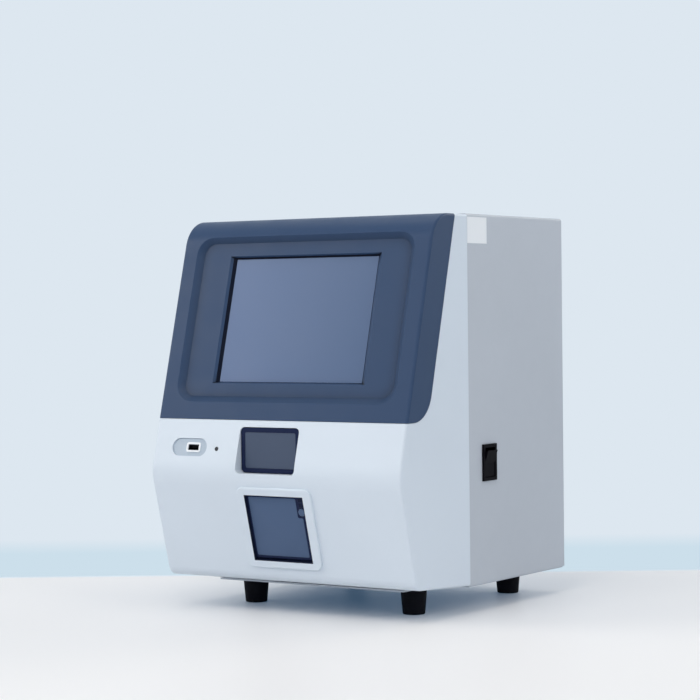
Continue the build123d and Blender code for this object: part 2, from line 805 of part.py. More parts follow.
def usb_tongue():
    y0 = PORT_RECESS + USB_TONGUE_SET
    y1 = PORT_RECESS - PORT_PLATE_THICK + USB_DEPTH - 2 * USB_SHELL
    tongue = front_plate(USB_TONGUE_W, USB_TONGUE_H, y0, y1)
    return PORT_PLACE * Pos(USB_X, 0, USB_TONGUE_OFF) * tongue


def status_lamp():
    lens = rod_y(LAMP_X, 0, LAMP_LENGTH, 0, LAMP_R)
    flange = rod_y(LAMP_X, WALL, WALL + LAMP_FLANGE_T, 0, LAMP_FLANGE_R)
    return LAMP_PLACE * (lens + flange)


# Sheet-metal case
def side_panel(side):
    """Right-hand panel with bent top and rear flanges; side -1 gives the left one."""
    plate = block(SIDE_IN, SIDE_X, CASE_FRONT_Y, REAR_Y, SKIRT_Z, HEIGHT)
    top = block(SIDE_X - FLANGE, SIDE_X, CASE_FRONT_Y, REAR_Y, LID_TOP, HEIGHT)
    rear = block(SIDE_X - REAR_FLANGE, SIDE_X, BACK_OUT, REAR_Y, SKIRT_Z, HEIGHT)
    panel = plate + top + rear
    bend = panel.edges().filter_by(Axis.Y).filter_by_position(Axis.X, SIDE_X, SIDE_X)
    panel = fillet(bend.sort_by(Axis.Z)[-1:], BEND_RADIUS)
    for z in REAR_SCREW_HEIGHTS:
        panel -= rod_y(rear_screw_x(), BACK_OUT - PAST, REAR_Y + PAST, z, SCREW_HOLE_R)
    if side < 0:
        return mirror(panel, about=Plane.YZ)
    cut = block(
        SIDE_IN - PAST,
        SIDE_X + PAST,
        SWITCH_Y - SWITCH_BODY_W / 2 - FIT,
        SWITCH_Y + SWITCH_BODY_W / 2 + FIT,
        SWITCH_Z - SWITCH_BODY_H / 2 - FIT,
        SWITCH_Z + SWITCH_BODY_H / 2 + FIT,
    )
    return panel - cut


def rear_screw_x():
    return SIDE_X - REAR_FLANGE / 2 - SHEET / 2


def top_panel():
    edge = SIDE_IN - FIT
    return block(-edge, edge, CASE_FRONT_Y, BACK_IN - FIT, LID_TOP - SHEET, LID_TOP)


def vent_slots(x, z, width_at):
    """Row of horizontal slots through the rear panel; width_at gives each one's width."""
    slots = []
    for i in range(VENT_SLOTS):
        dz = (i - (VENT_SLOTS - 1) / 2) * VENT_PITCH
        slot = Box(width_at(dz), 4 * SHEET, VENT_SLOT_H)
        slot = fillet(slot.edges().filter_by(Axis.Y), (VENT_SLOT_H - VENT_FLAT) / 2)
        slots.append(Pos(x, BACK_OUT, z + dz) * slot)
    return slots


def fan_slot_width(dz):
    """Width of a slot in front of the fan, a rim short of its bore at this height."""
    return 2 * (sqrt(FAN_BORE_R**2 - dz**2) - VENT_RIM)


def rear_panel():
    edge = SIDE_IN - FIT
    panel = block(-edge, edge, BACK_IN, BACK_OUT, PAN_TOP + FIT, LID_TOP - FIT)
    for slot in vent_slots(FAN_X, FAN_Z, fan_slot_width):
        panel -= slot
    for slot in vent_slots(LOW_VENT_X, LOW_VENT_Z, lambda dz: LOW_VENT_W):
        panel -= slot
    panel -= block(
        INLET_X - INLET_W / 2 - FIT,
        INLET_X + INLET_W / 2 + FIT,
        BACK_IN - PAST,
        BACK_OUT + PAST,
        INLET_Z - INLET_H / 2 - FIT,
        INLET_Z + INLET_H / 2 + FIT,
    )
    panel -= block(
        NET_X - NET_W / 2 - FIT,
        NET_X + NET_W / 2 + FIT,
        BACK_IN - PAST,
        BACK_OUT + PAST,
        board_top() - FIT,
        board_top() + NET_H + FIT,
    )
    for z in REAR_SCREW_HEIGHTS:
        for side in (-1, 1):
            x = side * rear_screw_x()
            panel -= rod_y(x, BACK_IN - PAST, BACK_OUT + PAST, z, SCREW_HOLE_R)
    return panel


def board_top():
    return PAN_TOP + STANDOFF_H + BOARD_T


def standoff_points():
    x0 = BOARD_X0 + STANDOFF_EDGE
    x1 = BOARD_X0 + BOARD_W - STANDOFF_EDGE
    y0 = BOARD_Y0 + STANDOFF_EDGE
    y1 = BOARD_Y0 + BOARD_L - STANDOFF_EDGE
    return [(x, y) for x in (x0, x1) for y in (y0, y1)]


def foot_points():
    return [(x, y) for y in (FOOT_FRONT_Y, FOOT_REAR_Y) for x in (-FOOT_X, FOOT_X)]


def base_pan():
    pan = block(-SIDE_IN, SIDE_IN, CASE_FRONT_Y, BACK_OUT, FOOT_H, PAN_TOP)
    front = SEAM_Y - TONGUE_REACH
    pan += block(-TONGUE_HALF, TONGUE_HALF, front, CASE_FRONT_Y + PAST, FOOT_H, PAN_TOP)
    y0 = CASE_FRONT_Y + ANGLE_LEG + FIT
    y1 = BACK_IN - FIT
    for side in (-1, 1):
        x0, x1 = sorted((side * (SIDE_IN - SHEET), side * SIDE_IN))
        pan += block(x0, x1, y0, y1, FOOT_H, PAN_TOP + PAN_FLANGE)
    for x, y in standoff_points():
        pan += rod_z(x, y, PAN_TOP - SHEET / 2, PAN_TOP + STANDOFF_H, STANDOFF_R)
    for x, y in foot_points():
        pan -= rod_z(x, y, FOOT_H - PAST, PAN_TOP + PAST, FOOT_SCREW_R)
    return pan


def frame_upright(side):
    """Angle section that ties fascia, side panel and pan together."""
    y0 = SEAM_Y
    z1 = LID_TOP - SHEET - FIT
    web = block(SIDE_IN - ANGLE_THICK, SIDE_IN, y0, y0 + ANGLE_LEG, PAN_TOP, z1)
    leg = block(SIDE_IN - ANGLE_LEG, SIDE_IN, y0, y0 + ANGLE_THICK, PAN_TOP, z1)
    angle = web + leg
    for z in BOSS_HEIGHTS:
        x = SIDE_IN - ANGLE_LEG / 2
        angle -= rod_y(x, y0 - PAST, y0 + ANGLE_THICK + PAST, z, SCREW_HOLE_R)
    if side < 0:
        return mirror(angle, about=Plane.YZ)
    return angle


def frame_crossbar():
    edge = SIDE_IN - ANGLE_LEG - FIT
    z1 = LID_TOP - SHEET
    y0 = SEAM_Y + FIT
    flat = block(-edge, edge, y0, y0 + ANGLE_LEG, z1 - ANGLE_THICK, z1)
    drop = block(-edge, edge, y0, y0 + ANGLE_THICK, z1 - ANGLE_LEG, z1)
    return flat + drop


def rubber_foot(x, y):
    foot = Pos(x, y, FOOT_H / 2) * Cone(FOOT_BASE_R, FOOT_TOP_R, FOOT_H)
    foot = fillet(foot.edges().sort_by(Axis.Z)[0], FOOT_BASE_ROUND)
    foot -= rod_z(x, y, -PAST, FOOT_RECESS_H, FOOT_RECESS_R)
    return foot - rod_z(x, y, -PAST, FOOT_H + PAST, FOOT_SCREW_R + FIT / 2)


def foot_screws():
    screws = []
    z0 = FOOT_RECESS_H - FOOT_SCREW_HEAD_H
    for x, y in foot_points():
        head = rod_z(x, y, z0, FOOT_RECESS_H, FOOT_SCREW_HEAD_R)
        shank = rod_z(x, y, z0, z0 + FOOT_SCREW_LENGTH, FOOT_SCREW_R)
        slot = Pos(x, y, z0) * Box(FOOT_SCREW_HEAD_R, FOOT_SLOT_W, 2 * FOOT_SLOT_DEPTH)
        screws.append(head + shank - slot)
    return screws


def case_screws():
    """Rear, fascia and display screws, all of one kind."""
    screws = []
    for z in REAR_SCREW_HEIGHTS:
        for side in (-1, 1):
            place = Location((side * rear_screw_x(), REAR_Y, z), (-90, 0, 0))
            screws.append(place * case_screw())
    for z in BOSS_HEIGHTS:
        for side in (-1, 1):
            x = side * (SIDE_IN - ANGLE_LEG / 2)
            place = Location((x, SEAM_Y + ANGLE_THICK, z), (-90, 0, 0))
            screws.append(place * case_screw())
    ear_x = bracket_half_w() - BRACKET_EAR
    ear_z = bracket_half_h() - BRACKET_EAR
    for sx in (-1, 1):
        for sz in (-1, 1):
            y = bracket_y() + BRACKET_THICK
            place = UPPER * Location((sx * ear_x, y, sz * ear_z), (-90, 0, 0))
            screws.append(place * case_screw())
    return screws


# Sample drawer
def drawer_front():
    w = DRAWER_HOLE_W - 2 * DRAWER_GAP
    h = DRAWER_HOLE_H - 2 * DRAWER_GAP
    y0 = DRAWER_FRONT_Y
    panel = front_plate(w, h, y0, y0 + DRAWER_FRONT_THICK, DRAWER_HOLE_RADIUS - DRAWER_GAP)
    recess = front_plate(
        w - 2 * DRAWER_INSET_BORDER,
        h - 2 * DRAWER_INSET_BORDER,
        y0 - PAST,
        y0 + DRAWER_INSET_DEPTH,
        DRAWER_INSET_RADIUS,
    )
    return Pos(DRAWER_X, 0, DRAWER_Z) * (panel - recess)


def drawer_inset():
    w = DRAWER_HOLE_W - 2 * DRAWER_GAP - 2 * DRAWER_INSET_BORDER - FIT
    h = DRAWER_HOLE_H - 2 * DRAWER_GAP - 2 * DRAWER_INSET_BORDER - FIT
    y1 = DRAWER_FRONT_Y + DRAWER_INSET_DEPTH
    plate = front_plate(w, h, y1 - DRAWER_INSET_THICK, y1, DRAWER_INSET_RADIUS - FIT / 2)
    return Pos(DRAWER_X, 0, DRAWER_Z) * plate


def drawer_tray():
    x0 = DRAWER_X - TRAY_HALF
    x1 = DRAWER_X + TRAY_HALF
    y0 = TRAY_Y0
    front = block(x0, x1, y0, y0 + TRAY_FULL_LENGTH, TRAY_Z, TRAY_Z + TRAY_H)
    rear = block(x0, x1, y0, y0 + TRAY_LENGTH, TRAY_Z, TRAY_Z + TRAY_REAR_H)
    tray = front + rear
    for side in (-1, 1):
        xa, xb = sorted((DRAWER_X + side * TRAY_HALF, DRAWER_X + side * (TRAY_HALF + LIP_W)))
        tray += block(xa, xb, y0 + LIP_START, y0 + TRAY_LENGTH, LIP_Z, LIP_Z + LIP_H)
        xc = DRAWER_X + side * POCKET_OFFSET
        top = TRAY_Z + TRAY_H
        tray -= block(
            xc - POCKET_W / 2,
            xc + POCKET_W / 2,
            y0 + POCKET_START,
            y0 + POCKET_START + POCKET_L,
            top - POCKET_DEPTH,
            top + PAST,
        )
    return tray


def drawer_rack():
    y0 = PINION_Y - RACK_END
    y1 = PINION_Y + DRAWER_TRAVEL + RACK_END
    root = RACK_PITCH_X - DEDENDUM * GEAR_MODULE
    tip = RACK_PITCH_X + ADDENDUM * GEAR_MODULE
    lean = tan(radians(PRESSURE_ANGLE))
    pitch = pi * GEAR_MODULE
    half = pitch / 4 - TOOTH_BACKLASH / 2
    count = int((DRAWER_TRAVEL + RACK_END) / pitch)
    points = [(root - RACK_BODY, y0), (root, y0)]
    for i in range(-1, count + 1):
        middle = PINION_Y + i * pitch
        wide = half + DEDENDUM * GEAR_MODULE * lean
        narrow = half - ADDENDUM * GEAR_MODULE * lean
        points.append((root, middle - wide))
        points.append((tip, middle - narrow))
        points.append((tip, middle + narrow))
        points.append((root, middle + wide))
    points.append((root, y1))
    points.append((root - RACK_BODY, y1))
    face = Plane.XY.offset(TRAY_Z - RACK_H) * make_face(Polyline(*points, close=True))
    return extrude(face, amount=RACK_H)


def drawer_pinion():
    face = gear_face(PINION_TEETH, GEAR_MODULE, TOOTH_BACKLASH, 180 - 180 / PINION_TEETH)
    z0 = TRAY_Z - RACK_H + (RACK_H - PINION_THICK) / 2
    gear = extrude(face, amount=PINION_THICK)
    gear = Pos(PINION_X, PINION_Y, z0 - FIT / 2) * gear
    z1 = z0 + PINION_THICK / 2
    return gear + rod_z(PINION_X, PINION_Y, DECK_Z - SHAFT_IN_MOTOR, z1, MOTOR_SHAFT_R)


def drawer_motor():
    can = motor_can(DRAWER_MOTOR_SIZE, DRAWER_MOTOR_H, MOTOR_CORNER)
    can = Pos(PINION_X, PINION_Y, DECK_Z) * can
    bore_r = MOTOR_SHAFT_R + RUNNING
    z0 = DECK_Z - SHAFT_IN_MOTOR - PAST
    return can - rod_z(PINION_X, PINION_Y, z0, DECK_Z + PAST, bore_r)


def mechanism_deck():
    deck = block(DECK_LEFT, DECK_RIGHT, DECK_FRONT, DECK_REAR, DECK_Z, DECK_TOP)
    return deck - rod_z(PINION_X, PINION_Y, DECK_Z - PAST, DECK_TOP + PAST, 2 * MOTOR_SHAFT_R)


def deck_posts():
    posts = []
    for x in (-POST_X, POST_X):
        for y in (POST_FRONT_Y, POST_REAR_Y):
            posts.append(rod_z(x, y, PAN_TOP, DECK_Z, POST_R))
    return posts


def drawer_guide(side):
    """Fixed channel on the deck that holds one lip of the tray."""
    inner = TRAY_HALF + 2 * FIT
    web = TRAY_HALF + LIP_W + SLIDE_GAP
    outer = web + GUIDE_WEB
    low = LIP_Z - SLIDE_GAP
    high = LIP_Z + LIP_H + SLIDE_GAP
    guide = block(web, outer, GUIDE_FRONT, GUIDE_REAR, DECK_TOP, high + GUIDE_FLANGE)
    guide += block(inner, outer, GUIDE_FRONT, GUIDE_REAR, low - GUIDE_FLANGE, low)
    guide += block(inner, outer, GUIDE_FRONT, GUIDE_REAR, high, high + GUIDE_FLANGE)
    if side < 0:
        guide = mirror(guide, about=Plane.YZ)
    return Pos(DRAWER_X, 0, 0) * guide


# Optical scanner
def scanner_block(y0):
    """Portal across the drawer that carries the guide rods."""
    outer = BLOCK_INNER + BLOCK_PILLAR
    y1 = y0 + BLOCK_T
    portal = block(-outer, outer, y0, y1, BLOCK_BEAM_Z, BLOCK_TOP_Z)
    for side in (-1, 1):
        x0, x1 = sorted((side * BLOCK_INNER, side * outer))
        portal += block(x0, x1, y0, y1, DECK_TOP, BLOCK_TOP_Z)
        portal -= rod_y(side * ROD_X, y0 - PAST, y1 + PAST, ROD_Z, ROD_R)
    portal -= rod_y(0, y0 - PAST, y1 + PAST, ROD_Z, SCAN_SCREW_R + RUNNING)
    return Pos(DRAWER_X, 0, 0) * portal


def scanner_blocks():
    return [scanner_block(FRONT_BLOCK_Y), scanner_block(REAR_BLOCK_Y)]


def scanner_rods():
    y1 = REAR_BLOCK_Y + BLOCK_T
    return [rod_y(DRAWER_X + s * ROD_X, FRONT_BLOCK_Y, y1, ROD_Z, ROD_R) for s in (-1, 1)]


def scanner_head():
    y0 = HEAD_FRONT_Y
    y1 = HEAD_REAR_Y
    body = block(-HEAD_HALF, HEAD_HALF, y0, y1, HEAD_Z, HEAD_TOP_Z)
    half = HEAD_BEARING_H / 2
    body += block(-HEAD_BEARING_HALF, HEAD_BEARING_HALF, y0, y1, ROD_Z - half, ROD_Z + half)
    for side in (-1, 1):
        body -= rod_y(side * ROD_X, y0 - PAST, y1 + PAST, ROD_Z, ROD_R + RUNNING)
    body -= rod_y(0, y0 - PAST, y1 + PAST, ROD_Z, SCAN_SCREW_R + RUNNING)
    return Pos(DRAWER_X, 0, 0) * body


def scanner_lenses():
    y = (HEAD_FRONT_Y + HEAD_REAR_Y) / 2
    lenses = []
    for side in (-1, 1):
        x = DRAWER_X + side * POCKET_OFFSET
        lens = rod_z(x, y, HEAD_Z - LENS_DROP, HEAD_Z, LENS_R)
        lens = fillet(lens.edges().sort_by(Axis.Z)[0], LENS_DROP / 3)
        lenses.append(lens)
    return lenses


def scanner_screw():
    y0 = FRONT_BLOCK_Y + PAST
    y1 = REAR_BLOCK_Y + BLOCK_T + SHAFT_IN_MOTOR
    return rod_y(DRAWER_X, y0, y1, ROD_Z, SCAN_SCREW_R)


def scanner_motor():
    y0 = REAR_BLOCK_Y + BLOCK_T
    can = motor_can(SCAN_MOTOR_SIZE, SCAN_MOTOR_L, MOTOR_CORNER)
    can = Location((DRAWER_X, y0, ROD_Z), (90, 0, 0)) * can
    bore_r = SCAN_SCREW_R + RUNNING
    y1 = y0 + SHAFT_IN_MOTOR + PAST
    return can - rod_y(DRAWER_X, y0 - PAST, y1, ROD_Z, bore_r)


# Ticket printer, drawn in the lower slope's frame
def printer_rim():
    flange = front_plate(RIM_W, RIM_H, -RIM_PROUD, 0, RIM_RADIUS)
    flange = fillet(flange.faces().sort_by(Axis.Y)[0].edges(), RIM_EDGE)
    sleeve = front_plate(SLEEVE_W, SLEEVE_H, -RIM_PROUD / 2, SLEEVE_DEPTH)
    rim = flange + sleeve
    rim -= front_plate(COVER_HOLE_W, COVER_HOLE_H, -2 * RIM_PROUD, SLEEVE_DEPTH + PAST)
    reach = HINGE_PIN_HALF + FIT / 2
    rim -= rod_x(-reach, reach, HINGE_Y, HINGE_Z, HINGE_PIN_R)
    return LOWER * rim


def bay_outline(inset):
    """Side outline of the paper bay behind the sleeve."""
    points = [
        (SLEEVE_DEPTH, BAY_BOTTOM),
        (SLEEVE_DEPTH, BAY_TOP),
        (BAY_STEP_Y, BAY_TOP),
        (BAY_SHOULDER_Y, BAY_SHOULDER_Z),
        (BAY_DEPTH, BAY_REAR_TOP),
        (BAY_DEPTH, BAY_BOTTOM),
    ]
    face = side_face(points)
    if inset > 0:
        face = offset(face, amount=-inset, kind=Kind.INTERSECTION)
    return face


def printer_bay():
    bay = across(bay_outline(0), BAY_HALF)
    bay -= across(bay_outline(BAY_WALL), BAY_HALF - BAY_WALL)
    mouth_half = COVER_HOLE_W / 2
    low = BAY_BOTTOM + BAY_WALL
    high = BAY_TOP - BAY_WALL
    bay -= block(-mouth_half, mouth_half, 0, SLEEVE_DEPTH + 2 * BAY_WALL, low, high)
    deep = BAY_DEPTH - BAY_WALL / 2
    sunk = low - BAY_WALL / 2
    cradle_points = [
        (CRADLE_FRONT, sunk),
        (CRADLE_FRONT, CRADLE_LOW),
        (deep, CRADLE_HIGH),
        (deep, sunk),
    ]
    cheek_x = ROLL_HALF + 2 * FIT
    cradle = across(side_face(cradle_points), cheek_x + BAY_WALL / 2)
    bay += cradle - rod_x(-BAY_HALF, BAY_HALF, ROLL_Y, ROLL_Z, ROLL_R + CRADLE_GAP)
    for side in (-1, 1):
        x0, x1 = sorted((side * cheek_x, side * (cheek_x + BAY_WALL)))
        top = ROLL_Z + ROLL_R - BAY_WALL
        bay += block(x0, x1, ROLL_Y - CHEEK_LEAD, deep, sunk, top)
    x0 = BAY_HALF - 2 * BAY_WALL
    shaft_hole = rod_x(x0, BAY_HALF + PAST, FEED_Y, PLATEN_Z, 2 * FEED_SHAFT_R)
    return LOWER * (bay - shaft_hole)


def printer_cover():
    half = COVER_HOLE_W / 2 - COVER_GAP
    top = COVER_HOLE_H / 2 - COVER_GAP
    y1 = COVER_FACE + COVER_THICK
    cover = block(-half, half, COVER_FACE, y1, HINGE_Z, top)
    cover += rod_x(-half, half, HINGE_Y, HINGE_Z, HINGE_BARREL_R)
    for side in (-1, 1):
        x0, x1 = sorted((side * EAR_X, side * (EAR_X + EAR_THICK)))
        cover += block(x0, x1, y1 - PAST, EAR_DEPTH, EAR_BOTTOM, EAR_TOP)
    cover -= rod_x(-half - PAST, half + PAST, HINGE_Y, HINGE_Z, HINGE_PIN_R + RUNNING)
    reach = EAR_X + 2 * EAR_THICK
    cover -= rod_x(-reach, reach, PLATEN_Y, PLATEN_Z, PLATEN_SHAFT_R + RUNNING)
    cover -= rod_y(LATCH_X, 0, COVER_FACE + LATCH_POCKET, LATCH_Z, LATCH_R + FIT)
    for z in MARK_HEIGHTS:
        mark = front_plate(MARK_W, MARK_H, 0, COVER_FACE + MARK_DEPTH)
        cover -= Pos(LATCH_X, 0, z) * mark
    return LOWER * cover


def printer_marks():
    marks = []
    for z in MARK_HEIGHTS:
        y0 = COVER_FACE
        mark = front_plate(MARK_W - FIT, MARK_H - FIT, y0, y0 + MARK_DEPTH)
        marks.append(LOWER * Pos(LATCH_X, 0, z) * mark)
    return marks


def cover_latch():
    y0 = COVER_FACE - LATCH_PROUD
    button = rod_y(LATCH_X, y0, y0 + LATCH_THICK, LATCH_Z, LATCH_R)
    button = fillet(button.edges().sort_by(Axis.Y)[0], LATCH_EDGE)
    return LOWER * button


def cover_pin():
    return LOWER * rod_x(-HINGE_PIN_HALF, HINGE_PIN_HALF, HINGE_Y, HINGE_Z, HINGE_PIN_R)


def platen_roller():
    roller = rod_x(-PLATEN_HALF, PLATEN_HALF, PLATEN_Y, PLATEN_Z, PLATEN_R)
    x0 = -EAR_X - 2 * EAR_THICK
    x1 = FEED_GEAR_X + FEED_GEAR_THICK
    return LOWER * (roller + rod_x(x0, x1, PLATEN_Y, PLATEN_Z, PLATEN_SHAFT_R))


def upright_gear(teeth, turn):
    """Printer gear turned so that its axis lies along X."""
    gear = extrude(gear_face(teeth, FEED_MODULE, FEED_BACKLASH, turn), amount=FEED_GEAR_THICK)
    return Rot(0, 90, 0) * gear


def platen_gear():
    gear = Pos(FEED_GEAR_X, PLATEN_Y, PLATEN_Z) * upright_gear(PLATEN_TEETH, 90)
    bore = rod_x(0, BAY_HALF, PLATEN_Y, PLATEN_Z, PLATEN_SHAFT_R)
    return LOWER * (gear - bore)


def feed_gear():
    turn = -90 + 180 / FEED_TEETH
    gear = Pos(FEED_GEAR_X, FEED_Y, PLATEN_Z) * upright_gear(FEED_TEETH, turn)
    x1 = BAY_HALF + FEED_MOTOR_L / 2
    return LOWER * (gear + rod_x(FEED_GEAR_X, x1, FEED_Y, PLATEN_Z, FEED_SHAFT_R))


def feed_motor():
    can = rod_x(BAY_HALF, BAY_HALF + FEED_MOTOR_L, FEED_Y, PLATEN_Z, FEED_MOTOR_R)
    x1 = BAY_HALF + FEED_MOTOR_L / 2 + PAST
    return LOWER * (can - rod_x(0, x1, FEED_Y, PLATEN_Z, FEED_SHAFT_R + RUNNING))


def paper_roll():
    roll = rod_x(-ROLL_HALF, ROLL_HALF, ROLL_Y, ROLL_Z, ROLL_R)
    reach = ROLL_HALF + PAST
    return LOWER * (roll - rod_x(-reach, reach, ROLL_Y, ROLL_Z, ROLL_CORE_R))


def print_head():
    y0 = PLATEN_Y + PLATEN_R + HEAD_GAP
    half = HEAD_PLATE_HALF
    plate = block(-half, half, y0, y0 + HEAD_PLATE_THICK, HEAD_PLATE_BOTTOM, BAY_TOP - BAY_WALL)
    return LOWER * plate


# Power switch
def switch_frame():
    face = SWITCH_FACE
    y = SWITCH_Y
    z = SWITCH_Z
    frame = Pos(face - SWITCH_FLANGE / 2, y, z) * Box(SWITCH_FLANGE, SWITCH_W, SWITCH_H)
    frame = fillet(frame.faces().sort_by(Axis.X)[-1].edges(), SWITCH_FLANGE / 4)
    depth = SWITCH_BODY_DEPTH + SWITCH_FLANGE / 2
    x = SIDE_X - SWITCH_BODY_DEPTH + depth / 2
    frame += Pos(x, y, z) * Box(depth, SWITCH_BODY_W, SWITCH_BODY_H)
    pocket = Box(2 * SWITCH_POCKET_DEPTH, SWITCH_POCKET_W, SWITCH_POCKET_H)
    frame -= Pos(face, y, z) * pocket
    half = SWITCH_POCKET_W / 2 + TRUNNION_REACH + FIT
    return frame - rod_y(PIVOT_X, y - half, y + half, z, TRUNNION_R + TRUNNION_GAP)


def power_rocker():
    points = [
        (ROCKER_HORN, -ROCKER_HALF_H),
        (ROCKER_WAIST, 0),
        (ROCKER_HORN, ROCKER_HALF_H),
        (-ROCKER_KEEL, ROCKER_KEEL_HALF),
        (-ROCKER_KEEL, -ROCKER_KEEL_HALF),
    ]
    half = SWITCH_POCKET_W / 2 - ROCKER_SIDE_GAP
    face = Plane.XZ * make_face(Polyline(*points, close=True))
    rocker = extrude(face, amount=half, both=True)
    reach = SWITCH_POCKET_W / 2 + TRUNNION_REACH
    rocker += rod_y(0, -reach, reach, 0, TRUNNION_R)
    return Pos(PIVOT_X, SWITCH_Y, SWITCH_Z) * Rot(0, ROCKER_TILT, 0) * rocker


def side_sticker():
    half_w = STICKER_W / 2
    half_h = STICKER_H / 2
    return block(
        SIDE_X,
        SIDE_X + STICKER_THICK,
        STICKER_Y - half_w,
        STICKER_Y + half_w,
        STICKER_Z - half_h,
        STICKER_Z + half_h,
    )


# Electronics
def main_board():
    z0 = PAN_TOP + STANDOFF_H
    z1 = z0 + BOARD_T
    x0 = BOARD_X0
    y0 = BOARD_Y0
    board = block(x0, x0 + BOARD_W, y0, y0 + BOARD_L, z0, z1)
    parts = (
        (CHIP_X, CHIP_Y, CHIP_SIZE, CHIP_SIZE, CHIP_H),
        (MEMORY_X, MEMORY_Y, MEMORY_W, MEMORY_L, MEMORY_H),
        (PLUG_X, PLUG_Y, PLUG_W, PLUG_L, PLUG_H),
    )
    for x, y, w, length, h in parts:
        board += block(x0 + x, x0 + x + w, y0 + y, y0 + y + length, z1, z1 + h)
    for i in range(CAPACITORS):
        y = y0 + CAPACITOR_Y + i * CAPACITOR_PITCH
        board += rod_z(x0 + CAPACITOR_X, y, z1, z1 + CAPACITOR_H, CAPACITOR_R)
    return board


def power_supply():
    x0 = SUPPLY_X0
    y0 = SUPPLY_Y0
    top = PAN_TOP + SUPPLY_H
    box = block(x0, x0 + SUPPLY_W, y0, y0 + SUPPLY_L, PAN_TOP, top)
    for i in range(SUPPLY_SLOTS):
        y = y0 + SUPPLY_L / 2 + (i - (SUPPLY_SLOTS - 1) / 2) * SUPPLY_SLOT_PITCH
        slot = Box(SUPPLY_W / 2, SUPPLY_SLOT_W, 2 * SUPPLY_SLOT_DEPTH)
        box -= Pos(x0 + SUPPLY_W / 2, y, top) * slot
    return box


def network_port():
    z0 = board_top()
    y1 = BACK_OUT + NET_PROUD
    body = block(NET_X - NET_W / 2, NET_X + NET_W / 2, y1 - NET_L, y1, z0, z0 + NET_H)
    zc = z0 + NET_H / 2
    hole = block(
        NET_X - NET_HOLE_W / 2,
        NET_X + NET_HOLE_W / 2,
        y1 - NET_HOLE_DEPTH,
        y1 + PAST,
        zc - NET_HOLE_H / 2,
        zc + NET_HOLE_H / 2,
    )
    return body - hole


def mains_inlet():
    y1 = BACK_OUT + INLET_FLANGE
    body = front_plate(INLET_W, INLET_H, y1 - INLET_L, y1)
    flange = front_plate(
        INLET_W + 2 * INLET_RIM, INLET_H + 2 * INLET_RIM, BACK_OUT, y1, INLET_RIM
    )
    hole = front_plate(
        INLET_HOLE_W, INLET_HOLE_H, y1 - INLET_HOLE_DEPTH, y1 + PAST, INLET_HOLE_RADIUS
    )
    inlet = body + flange - hole
    y0 = y1 - INLET_HOLE_DEPTH - PAST
    for x, z in ((-PIN_SPREAD, 0), (PIN_SPREAD, 0), (0, PIN_RISE)):
        inlet += block(x - PIN_W / 2, x + PIN_W / 2, y0, y0 + PIN_L, z - PIN_H / 2, z + PIN_H / 2)
    return Pos(INLET_X, 0, INLET_Z) * inlet


# Cooling fan
def fan_frame():
    y1 = BACK_IN
    frame = front_plate(FAN_SIZE, FAN_SIZE, y1 - FAN_T, y1, FAN_CORNER)
    frame -= rod_y(0, y1 - FAN_T - PAST, y1 + PAST, 0, FAN_BORE_R)
    y0 = y1 - FAN_T
    frame += rod_y(0, y0, y0 + FAN_STATOR_T, 0, FAN_STATOR_R)
    for i in range(FAN_STRUTS):
        strut = block(
            FAN_STATOR_R - PAST,
            FAN_BORE_R + PAST,
            y0,
            y0 + FAN_STATOR_T,
            -FAN_STRUT_W / 2,
            FAN_STRUT_W / 2,
        )
        frame += Rot(0, 360 * i / FAN_STRUTS + FAN_STRUT_TURN, 0) * strut
    frame += rod_y(0, y0, y0 + FAN_STATOR_T + FAN_HUB_T / 2, 0, FAN_PIN_R)
    return Pos(FAN_X, 0, FAN_Z) * frame


def fan_rotor():
    y0 = BACK_IN - FAN_T + FAN_STATOR_T + FIT
    rotor = rod_y(0, y0, y0 + FAN_HUB_T, 0, FAN_HUB_R)
    tip = FAN_BORE_R - FAN_TIP_GAP
    middle = y0 + FAN_HUB_T / 2
    chord = (FAN_HUB_T - 2 * FAN_BLADE_MARGIN) / cos(radians(FAN_BLADE_PITCH))
    root = FAN_HUB_R - FAN_BLADE_ROOT
    for i in range(FAN_BLADES):
        blade = Box(tip - root, chord, FAN_BLADE_T)
        blade = Rot(FAN_BLADE_PITCH, 0, 0) * blade
        blade = Pos((tip + root) / 2, middle, 0) * blade
        rotor += Rot(0, 360 * i / FAN_BLADES, 0) * blade
    rotor = rotor & rod_y(0, y0, y0 + FAN_HUB_T, 0, tip)
    rotor -= rod_y(0, y0 - PAST, y0 + FAN_HUB_T / 2 + PAST, 0, FAN_PIN_R + RUNNING)
    return Pos(FAN_X, 0, FAN_Z) * rotor


